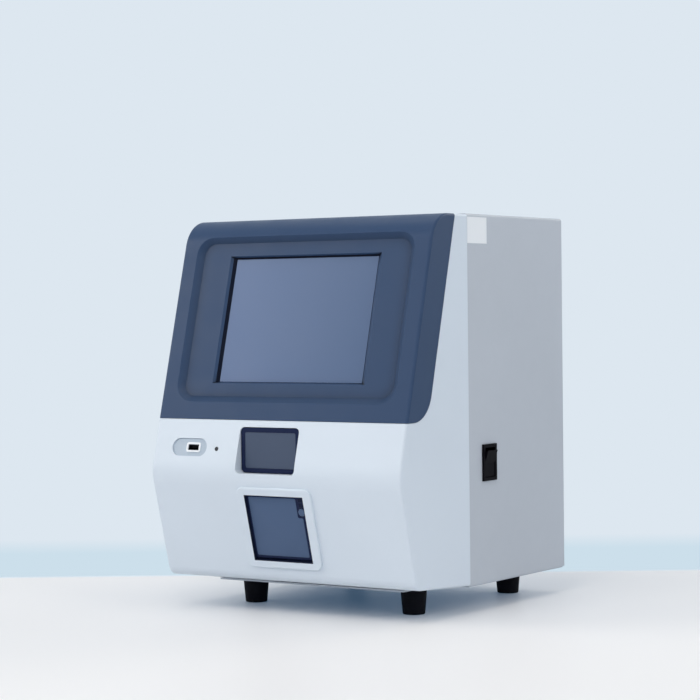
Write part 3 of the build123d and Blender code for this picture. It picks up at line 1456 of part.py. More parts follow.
def build_nodes():
    """Every node of the analyzer, by name."""
    outer = fascia_form(0)
    inner = fascia_form(WALL)
    nodes = {
        "front_fascia": front_fascia(outer, inner),
        "screen_bezel": screen_bezel(outer, inner),
        "touch_glass": touch_glass(),
        "lcd_module": lcd_module(),
        "display_bracket": display_bracket(),
        "left_side_panel": side_panel(-1),
        "right_side_panel": side_panel(1),
        "top_panel": top_panel(),
        "rear_panel": rear_panel(),
        "base_pan": base_pan(),
        "frame_upright_left": frame_upright(-1),
        "frame_upright_right": frame_upright(1),
        "frame_crossbar": frame_crossbar(),
        "foot_screws": foot_screws(),
        "case_screws": case_screws(),
        "port_escutcheon": port_escutcheon(),
        "usb_shell": usb_shell(),
        "usb_tongue": usb_tongue(),
        "status_lamp": status_lamp(),
        "drawer_front": drawer_front(),
        "drawer_inset": drawer_inset(),
        "drawer_tray": drawer_tray(),
        "drawer_rack": drawer_rack(),
        "drawer_pinion": drawer_pinion(),
        "drawer_motor": drawer_motor(),
        "drawer_guide_left": drawer_guide(-1),
        "drawer_guide_right": drawer_guide(1),
        "mechanism_deck": mechanism_deck(),
        "deck_posts": deck_posts(),
        "scanner_blocks": scanner_blocks(),
        "scanner_rods": scanner_rods(),
        "scanner_head": scanner_head(),
        "scanner_lenses": scanner_lenses(),
        "scanner_screw": scanner_screw(),
        "scanner_motor": scanner_motor(),
        "printer_rim": printer_rim(),
        "printer_bay": printer_bay(),
        "printer_cover": printer_cover(),
        "printer_marks": printer_marks(),
        "cover_latch": cover_latch(),
        "cover_pin": cover_pin(),
        "platen_roller": platen_roller(),
        "platen_gear": platen_gear(),
        "feed_gear": feed_gear(),
        "feed_motor": feed_motor(),
        "paper_roll": paper_roll(),
        "print_head": print_head(),
        "switch_frame": switch_frame(),
        "power_rocker": power_rocker(),
        "side_sticker": side_sticker(),
        "main_board": main_board(),
        "power_supply": power_supply(),
        "network_port": network_port(),
        "mains_inlet": mains_inlet(),
        "fan_frame": fan_frame(),
        "fan_rotor": fan_rotor(),
    }
    corner_names = ("front_left", "front_right", "rear_left", "rear_right")
    for name, (x, y) in zip(corner_names, foot_points()):
        nodes["foot_" + name] = rubber_foot(x, y)
    return nodes


def as_part(shape):
    """One exportable shape from a solid or from a list of separate solids."""
    if isinstance(shape, list):
        solids = [s for item in shape for s in item.solids()]
        return Compound(children=solids)
    return shape


os.makedirs("parts", exist_ok=True)
for node, shape in build_nodes().items():
    export_step(as_part(shape), "parts/" + node + ".step")
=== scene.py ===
import json
from math import cos, pi, radians, sin

import bmesh
import bpy
from mathutils import Matrix, Vector


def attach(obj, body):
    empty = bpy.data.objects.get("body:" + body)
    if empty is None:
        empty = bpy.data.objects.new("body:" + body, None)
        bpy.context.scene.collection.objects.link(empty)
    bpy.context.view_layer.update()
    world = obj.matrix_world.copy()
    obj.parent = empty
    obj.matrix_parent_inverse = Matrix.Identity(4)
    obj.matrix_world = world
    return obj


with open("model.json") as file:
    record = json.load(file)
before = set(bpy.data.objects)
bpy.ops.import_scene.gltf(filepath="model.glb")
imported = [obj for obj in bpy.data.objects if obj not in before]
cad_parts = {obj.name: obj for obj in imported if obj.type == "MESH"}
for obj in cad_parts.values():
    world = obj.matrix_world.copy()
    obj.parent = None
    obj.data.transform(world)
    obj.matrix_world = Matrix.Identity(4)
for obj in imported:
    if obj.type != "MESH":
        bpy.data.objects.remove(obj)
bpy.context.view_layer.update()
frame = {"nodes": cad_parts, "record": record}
nodes = frame["nodes"]
scene = bpy.context.scene

# All lengths are in metres
MM = 0.001
QUARTER_TURN = 0.5 * pi

# Camera at the photograph's viewpoint
PHOTO_SIZE = 700
FOCAL_PX = 2205.9
SENSOR_WIDTH = 36.0
CLIP_END = 60.0
CAMERA_PLACE = Vector((1.262, -1.9184, 0.304))
YAW = radians(33.63)
PITCH = radians(1.05)
ROLL = radians(-0.63)


def make_camera():
    """Camera with the photograph's place, direction and focal length."""
    data = bpy.data.cameras.new("photo_camera")
    data.sensor_width = SENSOR_WIDTH
    data.lens = SENSOR_WIDTH * FOCAL_PX / PHOTO_SIZE
    data.clip_end = CLIP_END
    camera = bpy.data.objects.new("photo_camera", data)
    scene.collection.objects.link(camera)
    forward = Vector((-sin(YAW) * cos(PITCH), cos(YAW) * cos(PITCH), -sin(PITCH)))
    right = Vector((cos(YAW), sin(YAW), 0.0))
    up = right.cross(forward)
    side = cos(ROLL) * right + sin(ROLL) * up
    head = -sin(ROLL) * right + cos(ROLL) * up
    turn = Matrix((side, head, -forward)).transposed().to_4x4()
    camera.matrix_world = Matrix.Translation(CAMERA_PLACE) @ turn
    scene.camera = camera


make_camera()


# Colours
def linear(red, green, blue):
    """Linear colour of an sRGB triple in 0 to 255."""
    values = []
    for part in (red, green, blue):
        part = part / 255.0
        values.append(part / 12.92 if part <= 0.04045 else ((part + 0.055) / 1.055) ** 2.4)
    return tuple(values) + (1.0,)


def shade(colour, factor):
    """Colour made lighter or darker by a factor."""
    return tuple(min(1.0, part * factor) for part in colour[:3]) + (1.0,)


# Node trees
FINISHES = {}
NOISE_LOW = 0.3
NOISE_HIGH = 0.7
RECESS_LOW = 0.77
RECESS_HIGH = 0.945
RECESS_SAMPLES = 8


class Tree:
    """Short notation for building a node tree."""

    def __init__(self, tree):
        self.tree = tree

    def add(self, kind, **settings):
        node = self.tree.nodes.new(kind)
        for key, value in settings.items():
            setattr(node, key, value)
        return node

    def put(self, node, name, value):
        """Give an input a number, a colour or another node's output."""
        socket = node.inputs[name]
        if isinstance(value, bpy.types.NodeSocket):
            self.tree.links.new(value, socket)
        else:
            socket.default_value = value

    def put_all(self, node, values):
        for name, value in values.items():
            self.put(node, name, value)

    def math(self, operation, *values):
        node = self.add("ShaderNodeMath", operation=operation)
        self.put_all(node, dict(enumerate(values)))
        return node.outputs["Value"]

    def ramp(self, value, low=0.0, high=1.0, start=0.0, end=1.0):
        """Map a value from start..end to low..high."""
        node = self.add("ShaderNodeMapRange")
        self.put_all(node, {
            "Value": value,
            "From Min": start,
            "From Max": end,
            "To Min": low,
            "To Max": high,
        })
        return node.outputs["Result"]

    def mix(self, factor, first, second):
        """Colour between two others."""
        node = self.add("ShaderNodeMix", data_type="RGBA")
        self.put(node, "Factor", factor)
        places = [place for place, socket in enumerate(node.inputs) if socket.type == "RGBA"]
        self.put_all(node, dict(zip(places, (first, second))))
        return [socket for socket in node.outputs if socket.type == "RGBA"][0]

    def mix_shaders(self, factor, first, second):
        node = self.add("ShaderNodeMixShader")
        self.put_all(node, dict(enumerate((factor, first, second))))
        return node.outputs["Shader"]

    def lit(self, kind, colour, strength=1.0):
        """Emission or background of a colour and a strength."""
        node = self.add(kind)
        self.put_all(node, {"Color": colour, "Strength": strength})
        return node.outputs[0]

    def background_rays(self):
        """1 for rays that show the background: from the camera, mirrors and glass."""
        paths = self.add("ShaderNodeLightPath")
        total = paths.outputs["Is Camera Ray"]
        for name in ("Is Glossy Ray", "Is Transmission Ray"):
            total = self.math("MAXIMUM", total, paths.outputs[name])
        return total


class Finish(Tree):
    """Node tree of a new material, which is kept in FINISHES under its name."""

    def __init__(self, name):
        self.material = bpy.data.materials.new(name)
        self.material.use_nodes = True
        super().__init__(self.material.node_tree)
        self.shader = self.tree.nodes["Principled BSDF"]
        self.coords = self.add("ShaderNodeTexCoord").outputs["Object"]
        FINISHES[name] = self.material

    def noise(self, scale, detail=3.0, rough=0.55, stretch=None):
        node = self.add("ShaderNodeTexNoise")
        self.put_all(node, {"Scale": scale, "Detail": detail, "Roughness": rough})
        source = self.coords
        if stretch is not None:
            mapping = self.add("ShaderNodeMapping")
            self.put_all(mapping, {"Vector": source, "Scale": stretch})
            source = mapping.outputs["Vector"]
        self.put(node, "Vector", source)
        return node.outputs["Fac"]

    def spread(self, noise, low=0.0, high=1.0):
        """Map the range that a noise mostly keeps to, to low..high."""
        return self.ramp(noise, low, high, NOISE_LOW, NOISE_HIGH)

    def bump(self, height, strength, distance):
        node = self.add("ShaderNodeBump")
        self.put_all(node, {"Height": height, "Strength": strength, "Distance": distance})
        return node.outputs["Normal"]

    def recess_share(self, reach):
        """0 deep in the piece's own corners and recesses, 1 on its open faces: the mask of
        painted shade.
        """
        node = self.add("ShaderNodeAmbientOcclusion", only_local=True, samples=RECESS_SAMPLES)
        self.put(node, "Distance", reach)
        return self.ramp(node.outputs["AO"], start=RECESS_LOW, end=RECESS_HIGH)

    def vector_math(self, operation, *values):
        node = self.add("ShaderNodeVectorMath", operation=operation)
        self.put_all(node, dict(enumerate(values)))
        return node.outputs["Value"]

    def along(self, axis):
        """Place along an axis of unit length."""
        return self.vector_math("DOT_PRODUCT", self.coords, axis)

    def slab(self, axis, low, high):
        """1 where the place along an axis is between low and high, otherwise 0."""
        return self.math("COMPARE", self.along(axis), (low + high) / 2, (high - low) / 2)

    def surface(self, values):
        """Set the shader's own inputs."""
        self.put_all(self.shader, values)


# Materials
GLASS_HALF_WIDTH = 88.0 * MM
RECESS_REACH = 14.0 * MM
# Colour of painted shade inside a gap
GAP_SHADE_COLOUR = linear(24, 31, 54)


def moulded(name, colour, rough, gloss=0.5, painted_recess_shade=0.0, gap_shade=()):
    """Moulded plastic: fine spark-eroded grain, faint flow marks and uneven gloss.

    The piece's own corners and recesses are painted darker: painted shade. Where the two
    slabs cross, the plastic is painted dark: painted shade inside a gap.
    """
    n = Finish(name)
    flow = n.spread(n.noise(scale=7.0, detail=4.0))
    tone = n.mix(flow, shade(colour, 0.985), shade(colour, 1.015))
    if painted_recess_shade > 0:
        # Painted shade: darker in the piece's own corners and recesses
        tone = n.mix(n.recess_share(RECESS_REACH), shade(colour, 1 - painted_recess_shade), tone)
    if gap_shade:
        # Painted shade: dark where the slabs cross, on the walls inside an opening
        inside = n.math("MULTIPLY", *[n.slab(*limits) for limits in gap_shade])
        tone = n.mix(inside, tone, GAP_SHADE_COLOUR)
    grain = n.noise(scale=900.0, detail=2.0, rough=0.6)
    n.surface({
        "Base Color": tone,
        "Roughness": n.spread(n.noise(scale=40.0, detail=4.0), rough - 0.06, rough + 0.06),
        "Normal": n.bump(grain, strength=0.35, distance=0.02 * MM),
        "Specular IOR Level": gloss,
    })


def painted(name, colour, rough):
    """Powder coat on sheet metal: orange-peel surface with fine specks."""
    n = Finish(name)
    wide = n.spread(n.noise(scale=5.0, detail=4.0))
    tone = n.mix(wide, shade(colour, 0.97), shade(colour, 1.03))
    speck = n.ramp(n.noise(scale=2600.0, detail=1.0), high=0.25, start=0.62, end=0.75)
    peel = n.noise(scale=420.0, detail=2.0)
    n.surface({
        "Base Color": n.mix(speck, tone, shade(colour, 1.25)),
        "Roughness": n.spread(n.noise(scale=60.0), rough - 0.05, rough + 0.07),
        "Normal": n.bump(peel, strength=0.3, distance=0.05 * MM),
    })


def metal(name, colour, rough, stretch=(1.0, 1.0, 30.0)):
    """Bare or plated metal with a fine directional grain."""
    n = Finish(name)
    lines = n.noise(scale=300.0, detail=4.0, rough=0.6, stretch=stretch)
    wide = n.noise(scale=12.0, detail=4.0)
    n.surface({
        "Base Color": n.mix(wide, shade(colour, 0.85), shade(colour, 1.08)),
        "Metallic": 1.0,
        "Roughness": n.spread(lines, rough - 0.1, rough + 0.12),
        "Normal": n.bump(lines, strength=0.12, distance=0.02 * MM),
    })


def rubber(name, colour):
    """Moulded rubber: matt, faintly dusty, with a soft mottled surface."""
    n = Finish(name)
    dust = n.noise(scale=60.0, detail=5.0, rough=0.65)
    dusty = n.ramp(dust, high=0.5, start=0.5, end=0.8)
    mottle = n.noise(scale=1500.0, detail=2.0)
    n.surface({
        "Base Color": n.mix(dusty, colour, shade(colour, 2.2)),
        "Roughness": n.spread(dust, 0.62, 0.85),
        "Normal": n.bump(mottle, strength=0.4, distance=0.04 * MM),
        "Specular IOR Level": 0.1,
    })


def screen_glass(name, left, right):
    """Anti-glare glass over a switched-off panel, with a soft painted sheen from left to right.
    """
    n = Finish(name)
    place = n.along((1.0, 0.0, 0.0))
    across = n.ramp(place, start=-GLASS_HALF_WIDTH, end=GLASS_HALF_WIDTH)
    haze = n.ramp(n.noise(scale=3.0, detail=2.0), high=0.12, start=0.4, end=0.7)
    etching = n.noise(scale=2200.0, detail=2.0)
    n.surface({
        # Painted sheen: the colour goes from the lighter left to the darker right; the haze is
        # random
        "Base Color": n.mix(haze, n.mix(across, left, right), shade(left, 1.3)),
        "Roughness": n.spread(n.noise(scale=18.0, detail=5.0), 0.16, 0.24),
        "Normal": n.bump(etching, strength=0.08, distance=0.01 * MM),
        "IOR": 1.5,
        "Specular IOR Level": 0.2,
    })


def clear_lens(name, colour):
    """Small coated optical lens."""
    n = Finish(name)
    n.surface({
        "Base Color": n.mix(n.noise(scale=90.0), colour, shade(colour, 0.8)),
        "Roughness": n.ramp(n.noise(scale=300.0), 0.03, 0.08),
        "Transmission Weight": 0.8,
        "IOR": 1.52,
    })


def paper(name, colour):
    """Paper with a light fibre mottling."""
    n = Finish(name)
    fibre = n.noise(scale=700.0, detail=6.0, rough=0.7)
    n.surface({
        "Base Color": n.mix(fibre, shade(colour, 0.94), shade(colour, 1.02)),
        "Roughness": n.ramp(fibre, 0.7, 0.9),
        "Normal": n.bump(fibre, strength=0.2, distance=0.02 * MM),
    })


def circuit(name, mask, raised, track, part):
    """Circuit board: solder mask with tracks showing through, and darker parts."""
    n = Finish(name)
    bricks = n.add("ShaderNodeTexBrick")
    n.put_all(bricks, {
        "Vector": n.coords,
        "Scale": 90.0,
        "Mortar Size": 0.03,
        "Color1": mask,
        "Color2": raised,
        "Mortar": track,
    })
    parts = n.ramp(n.noise(scale=400.0), high=0.5, start=0.5, end=0.7)
    n.surface({
        "Base Color": n.mix(parts, bricks.outputs["Color"], part),
        "Roughness": n.ramp(n.noise(scale=120.0), 0.3, 0.45),
        "Normal": n.bump(bricks.outputs["Fac"], strength=0.3, distance=0.05 * MM),
    })


FASCIA = {"colour": linear(212, 221, 231), "rough": 0.42, "gloss": 0.3}

moulded("fascia_plastic", **FASCIA)
# The bezel's corners and recesses carry painted shade
moulded("bezel_plastic", linear(47, 68, 99), rough=0.38, gloss=0.17, painted_recess_shade=0.85)
moulded("grey_plastic", linear(172, 185, 199), rough=0.45)
moulded("slate_plastic", linear(76, 95, 126), rough=0.46, gloss=0.2)
moulded("navy_plastic", linear(27, 36, 66), rough=0.4, gloss=0.1)
moulded("light_slate_plastic", linear(72, 83, 104), rough=0.36, gloss=0.25)
moulded("white_plastic", linear(236, 239, 243), rough=0.4)
moulded("black_plastic", linear(10, 8, 14), rough=0.42, gloss=0.03)
moulded("tray_plastic", linear(52, 58, 70), rough=0.42, gloss=0.3)
moulded("dark_window", linear(18, 28, 56), rough=0.2, gloss=0.15)
moulded("lamp_lens", linear(20, 26, 40), rough=0.2, gloss=0.2)
painted("panel_paint", linear(183, 189, 198), rough=0.5)
painted("display_metal", linear(44, 45, 48), rough=0.55)
painted("motor_black", linear(34, 34, 37), rough=0.4)
metal("plated_steel", linear(186, 190, 196), rough=0.36)
metal("screw_steel", linear(176, 178, 182), rough=0.28)
metal("dark_steel", linear(58, 60, 66), rough=0.36)
metal("aluminium", linear(206, 208, 211), rough=0.38, stretch=(30.0, 1.0, 1.0))
rubber("black_rubber", linear(13, 14, 20))
# Dark rubber; on the screen's strip at the foot of its walls it is painted shade
rubber("seal_rubber", linear(8, 15, 32))
screen_glass("screen_glass", left=linear(88, 109, 146), right=linear(80, 100, 133))
clear_lens("optical_glass", linear(190, 215, 235))
paper("roll_paper", linear(238, 238, 234))
paper("sticker_paper", linear(240, 243, 246))
circuit("circuit_board", mask=linear(24, 92, 52), raised=linear(28, 104, 60),
        track=linear(60, 140, 84), part=linear(20, 70, 44))


def dress(node, finish):
    """Give a CAD node its finished material."""
    slots = nodes[node].data.materials
    if len(slots) == 0:
        slots.append(None)
    for index in range(len(slots)):
        slots[index] = FINISHES[finish]


# A node takes its slot's finish, unless the photograph shows another one
OWN_FINISH = {
    "drawer_front": "navy_plastic",
    # The cover's navy round its raised panel is painted shade of the gap round the cover
    "printer_cover": "navy_plastic",
    "cover_latch": "slate_plastic",
    "usb_shell": "dark_steel",
    "drawer_tray": "tray_plastic",
    "base_pan": "panel_paint",
}

for entry in frame["record"]["subparts"]:
    dress(entry["node"], OWN_FINISH.get(entry["node"], entry["material_slot"]))


# Fine pieces are drawn in the own frames of the upper and lower slopes: Y points inwards
SLOPE = radians(15.0)
UPPER = Matrix.Rotation(-SLOPE, 4, "X")
LOWER = Matrix.Rotation(SLOPE, 4, "X")
CORNER_STEPS = 5
CIRCLE_STEPS = 48
EDGE_STEPS = 3
SHARP_ANGLE = radians(40.0)

# How far raised pieces reach into what carries them
SUNK = 0.2 * MM


def slope_box(node, axes):
    """Lowest and highest corners of a node in a slope's own frame."""
    back = axes.inverted()
    places = [back @ vertex.co for vertex in nodes[node].data.vertices]
    low = Vector([min(place[axis] for place in places) for axis in range(3)])
    high = Vector([max(place[axis] for place in places) for axis in range(3)])
    return low, high


def rounded(corners, radius):
    """Outline with its right-angled corners rounded."""
    points = []
    for index, corner in enumerate(corners):
        here = Vector(corner)
        back = (Vector(corners[index - 1]) - here).normalized()
        ahead = (Vector(corners[(index + 1) % len(corners)]) - here).normalized()
        centre = here + radius * (back + ahead)
        for step in range(CORNER_STEPS + 1):
            turn = QUARTER_TURN * step / CORNER_STEPS
            points.append(centre - radius * (cos(turn) * ahead + sin(turn) * back))
    return points


def rectangle(x0, x1, z0, z1, inset, radius):
    """Rounded rectangle, drawn in from its four sides."""
    x0, x1 = x0 + inset, x1 - inset
    z0, z1 = z0 + inset, z1 - inset
    return rounded([(x0, z0), (x1, z0), (x1, z1), (x0, z1)], radius)


def circle(x, z, radius):
    turns = [2 * pi * step / CIRCLE_STEPS for step in range(CIRCLE_STEPS)]
    return [Vector((x + radius * cos(turn), z + radius * sin(turn))) for turn in turns]


def level(outline, depth):
    """Outline laid at one depth of a slope's own frame."""
    return [Vector((x, depth, z)) for x, z in outline]


def skin(name, axes, loops, capped, body, finish):
    """Piece through loops of points; capped at its ends, or closed as a ring."""
    shape = bmesh.new()
    rows = []
    for loop in loops:
        rows.append([shape.verts.new(axes @ point) for point in loop])
    joins = list(zip(rows[:-1], rows[1:]))
    if capped:
        shape.faces.new(rows[0])
        shape.faces.new(rows[-1])
    else:
        joins.append((rows[-1], rows[0]))
    for first, second in joins:
        for index in range(len(first)):
            before = index - 1
            shape.faces.new((first[before], first[index], second[index], second[before]))
    bmesh.ops.recalc_face_normals(shape, faces=shape.faces)
    for face in shape.faces:
        face.smooth = True
    for edge in shape.edges:
        edge.smooth = edge.calc_face_angle(0.0) < SHARP_ANGLE
    mesh = bpy.data.meshes.new(name)
    shape.to_mesh(mesh)
    shape.free()
    mesh.materials.append(FINISHES[finish])
    piece = bpy.data.objects.new(name, mesh)
    scene.collection.objects.link(piece)
    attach(piece, body)


# The walls of the printer's opening are painted dark down to its cover: painted shade in the gap
COVER_GAP = 0.5 * MM
GAP_SHADE_PAST = 0.15 * MM


def shade_opening_walls():
    """Rim's material anew, painted dark inside slabs across the slope and up it: painted shade
    on the opening's walls.
    """
    low, high = slope_box("printer_cover", LOWER)
    reach = COVER_GAP + GAP_SHADE_PAST
    slabs = []
    for axis in (0, 2):
        slabs.append((LOWER.col[axis].to_3d(), low[axis] - reach, high[axis] + reach))
    moulded("rim_plastic_gap_shade", gap_shade=slabs, **FASCIA)
    dress("printer_rim", "rim_plastic_gap_shade")


shade_opening_walls()


# Raised panel on the printer cover, with a notch for its latch and windows; the darker cover
# round it, widest at the right and the bottom, is painted shade of the gap round the cover
PANEL_LEFT_MARGIN = 2.0 * MM
PANEL_RIGHT_MARGIN = 4.6 * MM
PANEL_TOP_MARGIN = 2.0 * MM
PANEL_LOW_MARGIN = 4.2 * MM
PANEL_PROUD = 0.3 * MM
PANEL_RADIUS = 1.6 * MM
PANEL_EDGE = 0.3 * MM
NOTCH_SIDE = 1.7 * MM
NOTCH_LOW = 2.4 * MM


def cover_panel():
    low, high = slope_box("printer_cover", LOWER)
    latch_low, _ = slope_box("cover_latch", LOWER)
    x0, x1 = low.x + PANEL_LEFT_MARGIN, high.x - PANEL_RIGHT_MARGIN
    z0, z1 = low.z + PANEL_LOW_MARGIN, high.z - PANEL_TOP_MARGIN
    notch_x, notch_z = latch_low.x - NOTCH_SIDE, latch_low.z - NOTCH_LOW

    def outline(inset):
        left, right, notch = x0 + inset, x1 - inset, notch_x - inset
        floor, step, top = z0 + inset, notch_z - inset, z1 - inset
        corners = [(left, floor), (right, floor), (right, step)]
        corners += [(notch, step), (notch, top), (left, top)]
        return rounded(corners, PANEL_RADIUS)

    loops = [level(outline(0.0), low.y + SUNK)]
    for step in range(EDGE_STEPS + 1):
        turn = QUARTER_TURN * step / EDGE_STEPS
        depth = low.y - PANEL_PROUD + PANEL_EDGE * (1 - sin(turn))
        loops.append(level(outline(PANEL_EDGE * (1 - cos(turn))), depth))
    skin("cover_panel", LOWER, loops, capped=True, body="printer_cover", finish="slate_plastic")


cover_panel()


# Raised ring round the latch button
RING_GAP = 0.5 * MM
RING_WIDTH = 0.9 * MM
RING_PROUD = 0.5 * MM


def latch_ring():
    face = slope_box("printer_cover", LOWER)[0].y
    low, high = slope_box("cover_latch", LOWER)
    x, z = (low.x + high.x) / 2, (low.z + high.z) / 2
    inner = (high.x - low.x) / 2 + RING_GAP
    outer = inner + RING_WIDTH
    crown = (inner + outer) / 2
    half = RING_PROUD / 2
    section = [(inner, -SUNK), (inner, half), (crown, RING_PROUD), (outer, half), (outer, -SUNK)]
    loops = [level(circle(x, z, radius), face - height) for radius, height in section]
    skin("latch_ring", LOWER, loops, capped=False, body="printer_cover", finish="navy_plastic")


latch_ring()


# Dark strip along the foot of the screen opening's sloping walls: painted shade, tallest where
# the shadow falls
GLASS_BORDER = 3.3 * MM
MOUTH_DEPTH = 4.2 * MM
MOUTH_SIDE_BEVEL = 5.5 * MM
MOUTH_TOP_BEVEL = 2.2 * MM
SHADE_STRIP_HEIGHT = 2.3 * MM
SHADE_STRIP_THICK = 0.3 * MM
SHADE_STRIP_CLEAR = 0.03 * MM
SHADE_STRIP_RADIUS = 0.4 * MM

# Share of its height that the painted shade strip has on the lower and right walls
SHADE_STRIP_LOW_SHARE = 0.15


def screen_shade_strip():
    low, high = slope_box("touch_glass", UPPER)
    x, z = (low.x + high.x) / 2, (low.z + high.z) / 2
    half_w, half_h = x - low.x - GLASS_BORDER, z - low.z - GLASS_BORDER

    def outline(height, inset):
        """Opening's outline at a height above the glass."""
        out_x = half_w + MOUTH_SIDE_BEVEL * height / MOUTH_DEPTH
        out_z = half_h + MOUTH_TOP_BEVEL * height / MOUTH_DEPTH
        return rectangle(x - out_x, x + out_x, z - out_z, z + out_z, inset, SHADE_STRIP_RADIUS)

    def share(index):
        """Share of the full height: 1 on the left and top walls, low on the other two."""
        corner, step = divmod(index, CORNER_STEPS + 1)
        turned = step / CORNER_STEPS
        full = (1 - turned, 0.0, turned, 1.0)[corner]
        return SHADE_STRIP_LOW_SHARE + (1 - SHADE_STRIP_LOW_SHARE) * full

    def wall(height, inset):
        foot, head = outline(0.0, inset), outline(height, inset)
        points = []
        for index, (start, end) in enumerate(zip(foot, head)):
            place = start.lerp(end, share(index))
            points.append(Vector((place.x, low.y - SHADE_STRIP_CLEAR - height * share(index), place.y)))
        return points

    loops = [wall(0.0, SHADE_STRIP_CLEAR), wall(SHADE_STRIP_HEIGHT, SHADE_STRIP_CLEAR)]
    loops += [wall(height, SHADE_STRIP_THICK) for height in (SHADE_STRIP_HEIGHT, SHADE_STRIP_THICK, 0.0)]
    # The strip is a dark sheet of painted shade
    skin("screen_shade_strip", UPPER, loops, capped=False, body="case", finish="seal_rubber")


screen_shade_strip()


# White lip round the data port
LIP_GAP = 0.15 * MM
LIP_WIDTH = 2.1 * MM
LIP_PROUD = 1.1 * MM
LIP_EDGE = 0.6 * MM
LIP_RADIUS = 2.4 * MM
LIP_INNER_RADIUS = 0.3 * MM


def port_lip():
    low, high = slope_box("usb_shell", UPPER)
    face = slope_box("port_escutcheon", UPPER)[0].y

    def ring(grow, radius, depth):
        return level(rectangle(low.x, high.x, low.z, high.z, -grow, radius), depth)

    outer = LIP_GAP + LIP_WIDTH
    crown = face - LIP_PROUD
    half = LIP_EDGE / 2
    loops = [ring(LIP_GAP, LIP_INNER_RADIUS, face + SUNK)]
    loops.append(ring(LIP_GAP, LIP_INNER_RADIUS, crown + half))
    loops.append(ring(LIP_GAP + half, LIP_INNER_RADIUS + half, crown))
    for step in range(EDGE_STEPS + 1):
        turn = QUARTER_TURN * step / EDGE_STEPS
        shrink = LIP_EDGE * (1 - sin(turn))
        drop = LIP_EDGE * (1 - cos(turn))
        loops.append(ring(outer - shrink, LIP_RADIUS - shrink, crown + drop))
    loops.append(ring(outer, LIP_RADIUS, face + SUNK))
    skin("port_lip", UPPER, loops, capped=False, body="case", finish="white_plastic")


port_lip()


# Stage: pale table top with a pale blue room behind it
FLOOR_HALF = 12.0
BAND_COLOUR = linear(204, 223, 235)
ROOM_COLOUR = linear(221, 231, 240)

# The table as it is seen; the light that it gives back to the object is neutral
TABLE_SEEN = linear(240, 235, 230)
TABLE_NEUTRAL = linear(240, 240, 241)

# Along a fixed line across the floor: the table's edge, then a blue band that fades out
TABLE_EDGE = 2.53
EDGE_BEFORE = 0.004
EDGE_PAST = 0.016
BAND_WIDTH = 0.25
BAND_END = 2.95

# Away from the object the floor turns into plain background
FADE_START = 1.3
FADE_END = 3.2

# Faint blue glow of the table top for background rays: painted blue light, which shows most in
# the shadow
TABLE_SHADOW_GLOW = (0.15, 0.5, 1.0, 1.0)
TABLE_SHADOW_GLOW_STRENGTH = 0.09


def make_floor():
    """Table top; the floor past its far edge takes the room's colours."""
    mesh = bpy.data.meshes.new("floor")
    corners = [(-FLOOR_HALF, -FLOOR_HALF, 0), (FLOOR_HALF, -FLOOR_HALF, 0)]
    corners += [(FLOOR_HALF, FLOOR_HALF, 0), (-FLOOR_HALF, FLOOR_HALF, 0)]
    mesh.from_pydata(corners, [], [(0, 1, 2, 3)])
    floor = bpy.data.objects.new("floor", mesh)
    scene.collection.objects.link(floor)
    n = Finish("table_top")
    heading = Vector((-sin(YAW), cos(YAW), 0.0))
    edge = CAMERA_PLACE.dot(heading) + TABLE_EDGE
    band_end = CAMERA_PLACE.dot(heading) + BAND_END
    along = n.along(heading)
    far = n.ramp(along, start=edge - EDGE_BEFORE, end=edge + EDGE_PAST)
    band = n.ramp(along, start=edge + BAND_WIDTH, end=band_end)
    past = n.mix(far, ROOM_COLOUR, n.mix(band, BAND_COLOUR, ROOM_COLOUR))
    away = n.vector_math("LENGTH", n.coords)
    faded = n.math("MAXIMUM", far, n.ramp(away, start=FADE_START, end=FADE_END))
    background = n.background_rays()
    table = n.mix(background, TABLE_NEUTRAL, TABLE_SEEN)
    grain = n.noise(scale=600.0)
    n.surface({
        "Base Color": n.mix(far, table, past),
        "Roughness": n.spread(n.noise(scale=3.0, detail=4.0), 0.4, 0.46),
        "Specular IOR Level": 0.15,
        "Normal": n.bump(grain, strength=0.05, distance=0.02 * MM),
        # Painted blue light: a faint glow that only background rays see
        "Emission Color": TABLE_SHADOW_GLOW,
        "Emission Strength": n.math("MULTIPLY", background, TABLE_SHADOW_GLOW_STRENGTH),
    })
    glow = n.lit("ShaderNodeEmission", past)
    share = n.math("MULTIPLY", faded, background)
    shown = n.mix_shaders(share, n.shader.outputs["BSDF"], glow)
    n.put(n.tree.nodes["Material Output"], "Surface", shown)
    mesh.materials.append(n.material)


make_floor()


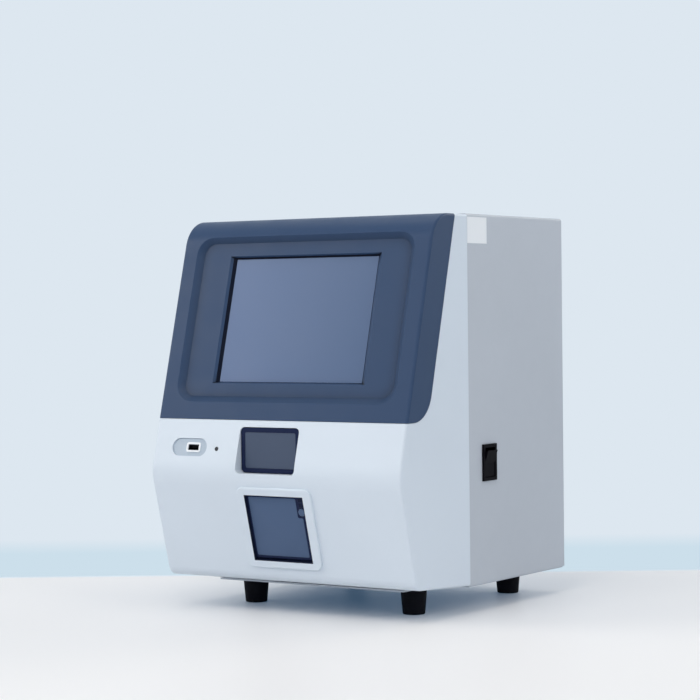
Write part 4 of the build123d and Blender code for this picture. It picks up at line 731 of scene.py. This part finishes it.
# Fill light of the room: its colours from low to high, and its strength
FILL_LOW = (0.16, 0.5, 1.0, 1.0)
FILL_HIGH = (0.6, 0.7, 0.8, 1.0)
FILL_HIGH_FROM = 0.5
FILL_STRENGTH = 0.36


def make_world():
    """Plain pale room: what the camera and mirrors see, and a soft blue fill light."""
    world = bpy.data.worlds.new("room")
    scene.world = world
    world.use_nodes = True
    n = Tree(world.node_tree)
    n.tree.nodes.clear()
    split = n.add("ShaderNodeSeparateXYZ")
    n.put(split, "Vector", n.add("ShaderNodeTexCoord").outputs["Generated"])
    height = n.ramp(split.outputs["Z"], end=FILL_HIGH_FROM)
    fill = n.lit("ShaderNodeBackground", n.mix(height, FILL_LOW, FILL_HIGH), FILL_STRENGTH)
    room = n.lit("ShaderNodeBackground", ROOM_COLOUR)
    shown = n.mix_shaders(n.background_rays(), fill, room)
    n.put(n.add("ShaderNodeOutputWorld"), "Surface", shown)


make_world()


# Soft lamps: name, place, size and power
LAMP_AIM = Vector((0.0, 0.0, 0.2))
LAMP_COLOUR = (1.0, 0.96, 0.9)
LAMPS = (
    ("key", (-2.9, -2.05, 1.9), (2.4, 1.8), 54.0),
    ("front", (0.9, -3.0, 1.6), (2.0, 1.6), 14.0),
    ("front_high", (0.3, -2.2, 2.8), (2.2, 1.8), 32.0),
    ("fill_right", (3.9, -0.6, 2.0), (2.4, 2.4), 36.0),
    ("top", (-0.1, 0.2, 2.8), (2.4, 2.4), 20.0),
    ("back", (1.4, 2.8, 1.7), (2.2, 1.6), 30.0),
)


def add_lamp(name, place, size, power):
    """Soft rectangular lamp that faces the middle of the instrument."""
    data = bpy.data.lights.new(name, "AREA")
    data.shape = "RECTANGLE"
    data.size, data.size_y = size
    data.energy = power
    data.color = LAMP_COLOUR
    lamp = bpy.data.objects.new(name, data)
    lamp.location = place
    lamp.rotation_mode = "QUATERNION"
    lamp.rotation_quaternion = (LAMP_AIM - Vector(place)).to_track_quat("-Z", "Y")
    scene.collection.objects.link(lamp)


for lamp in LAMPS:
    add_lamp(*lamp)

scene.view_settings.view_transform = "Standard"
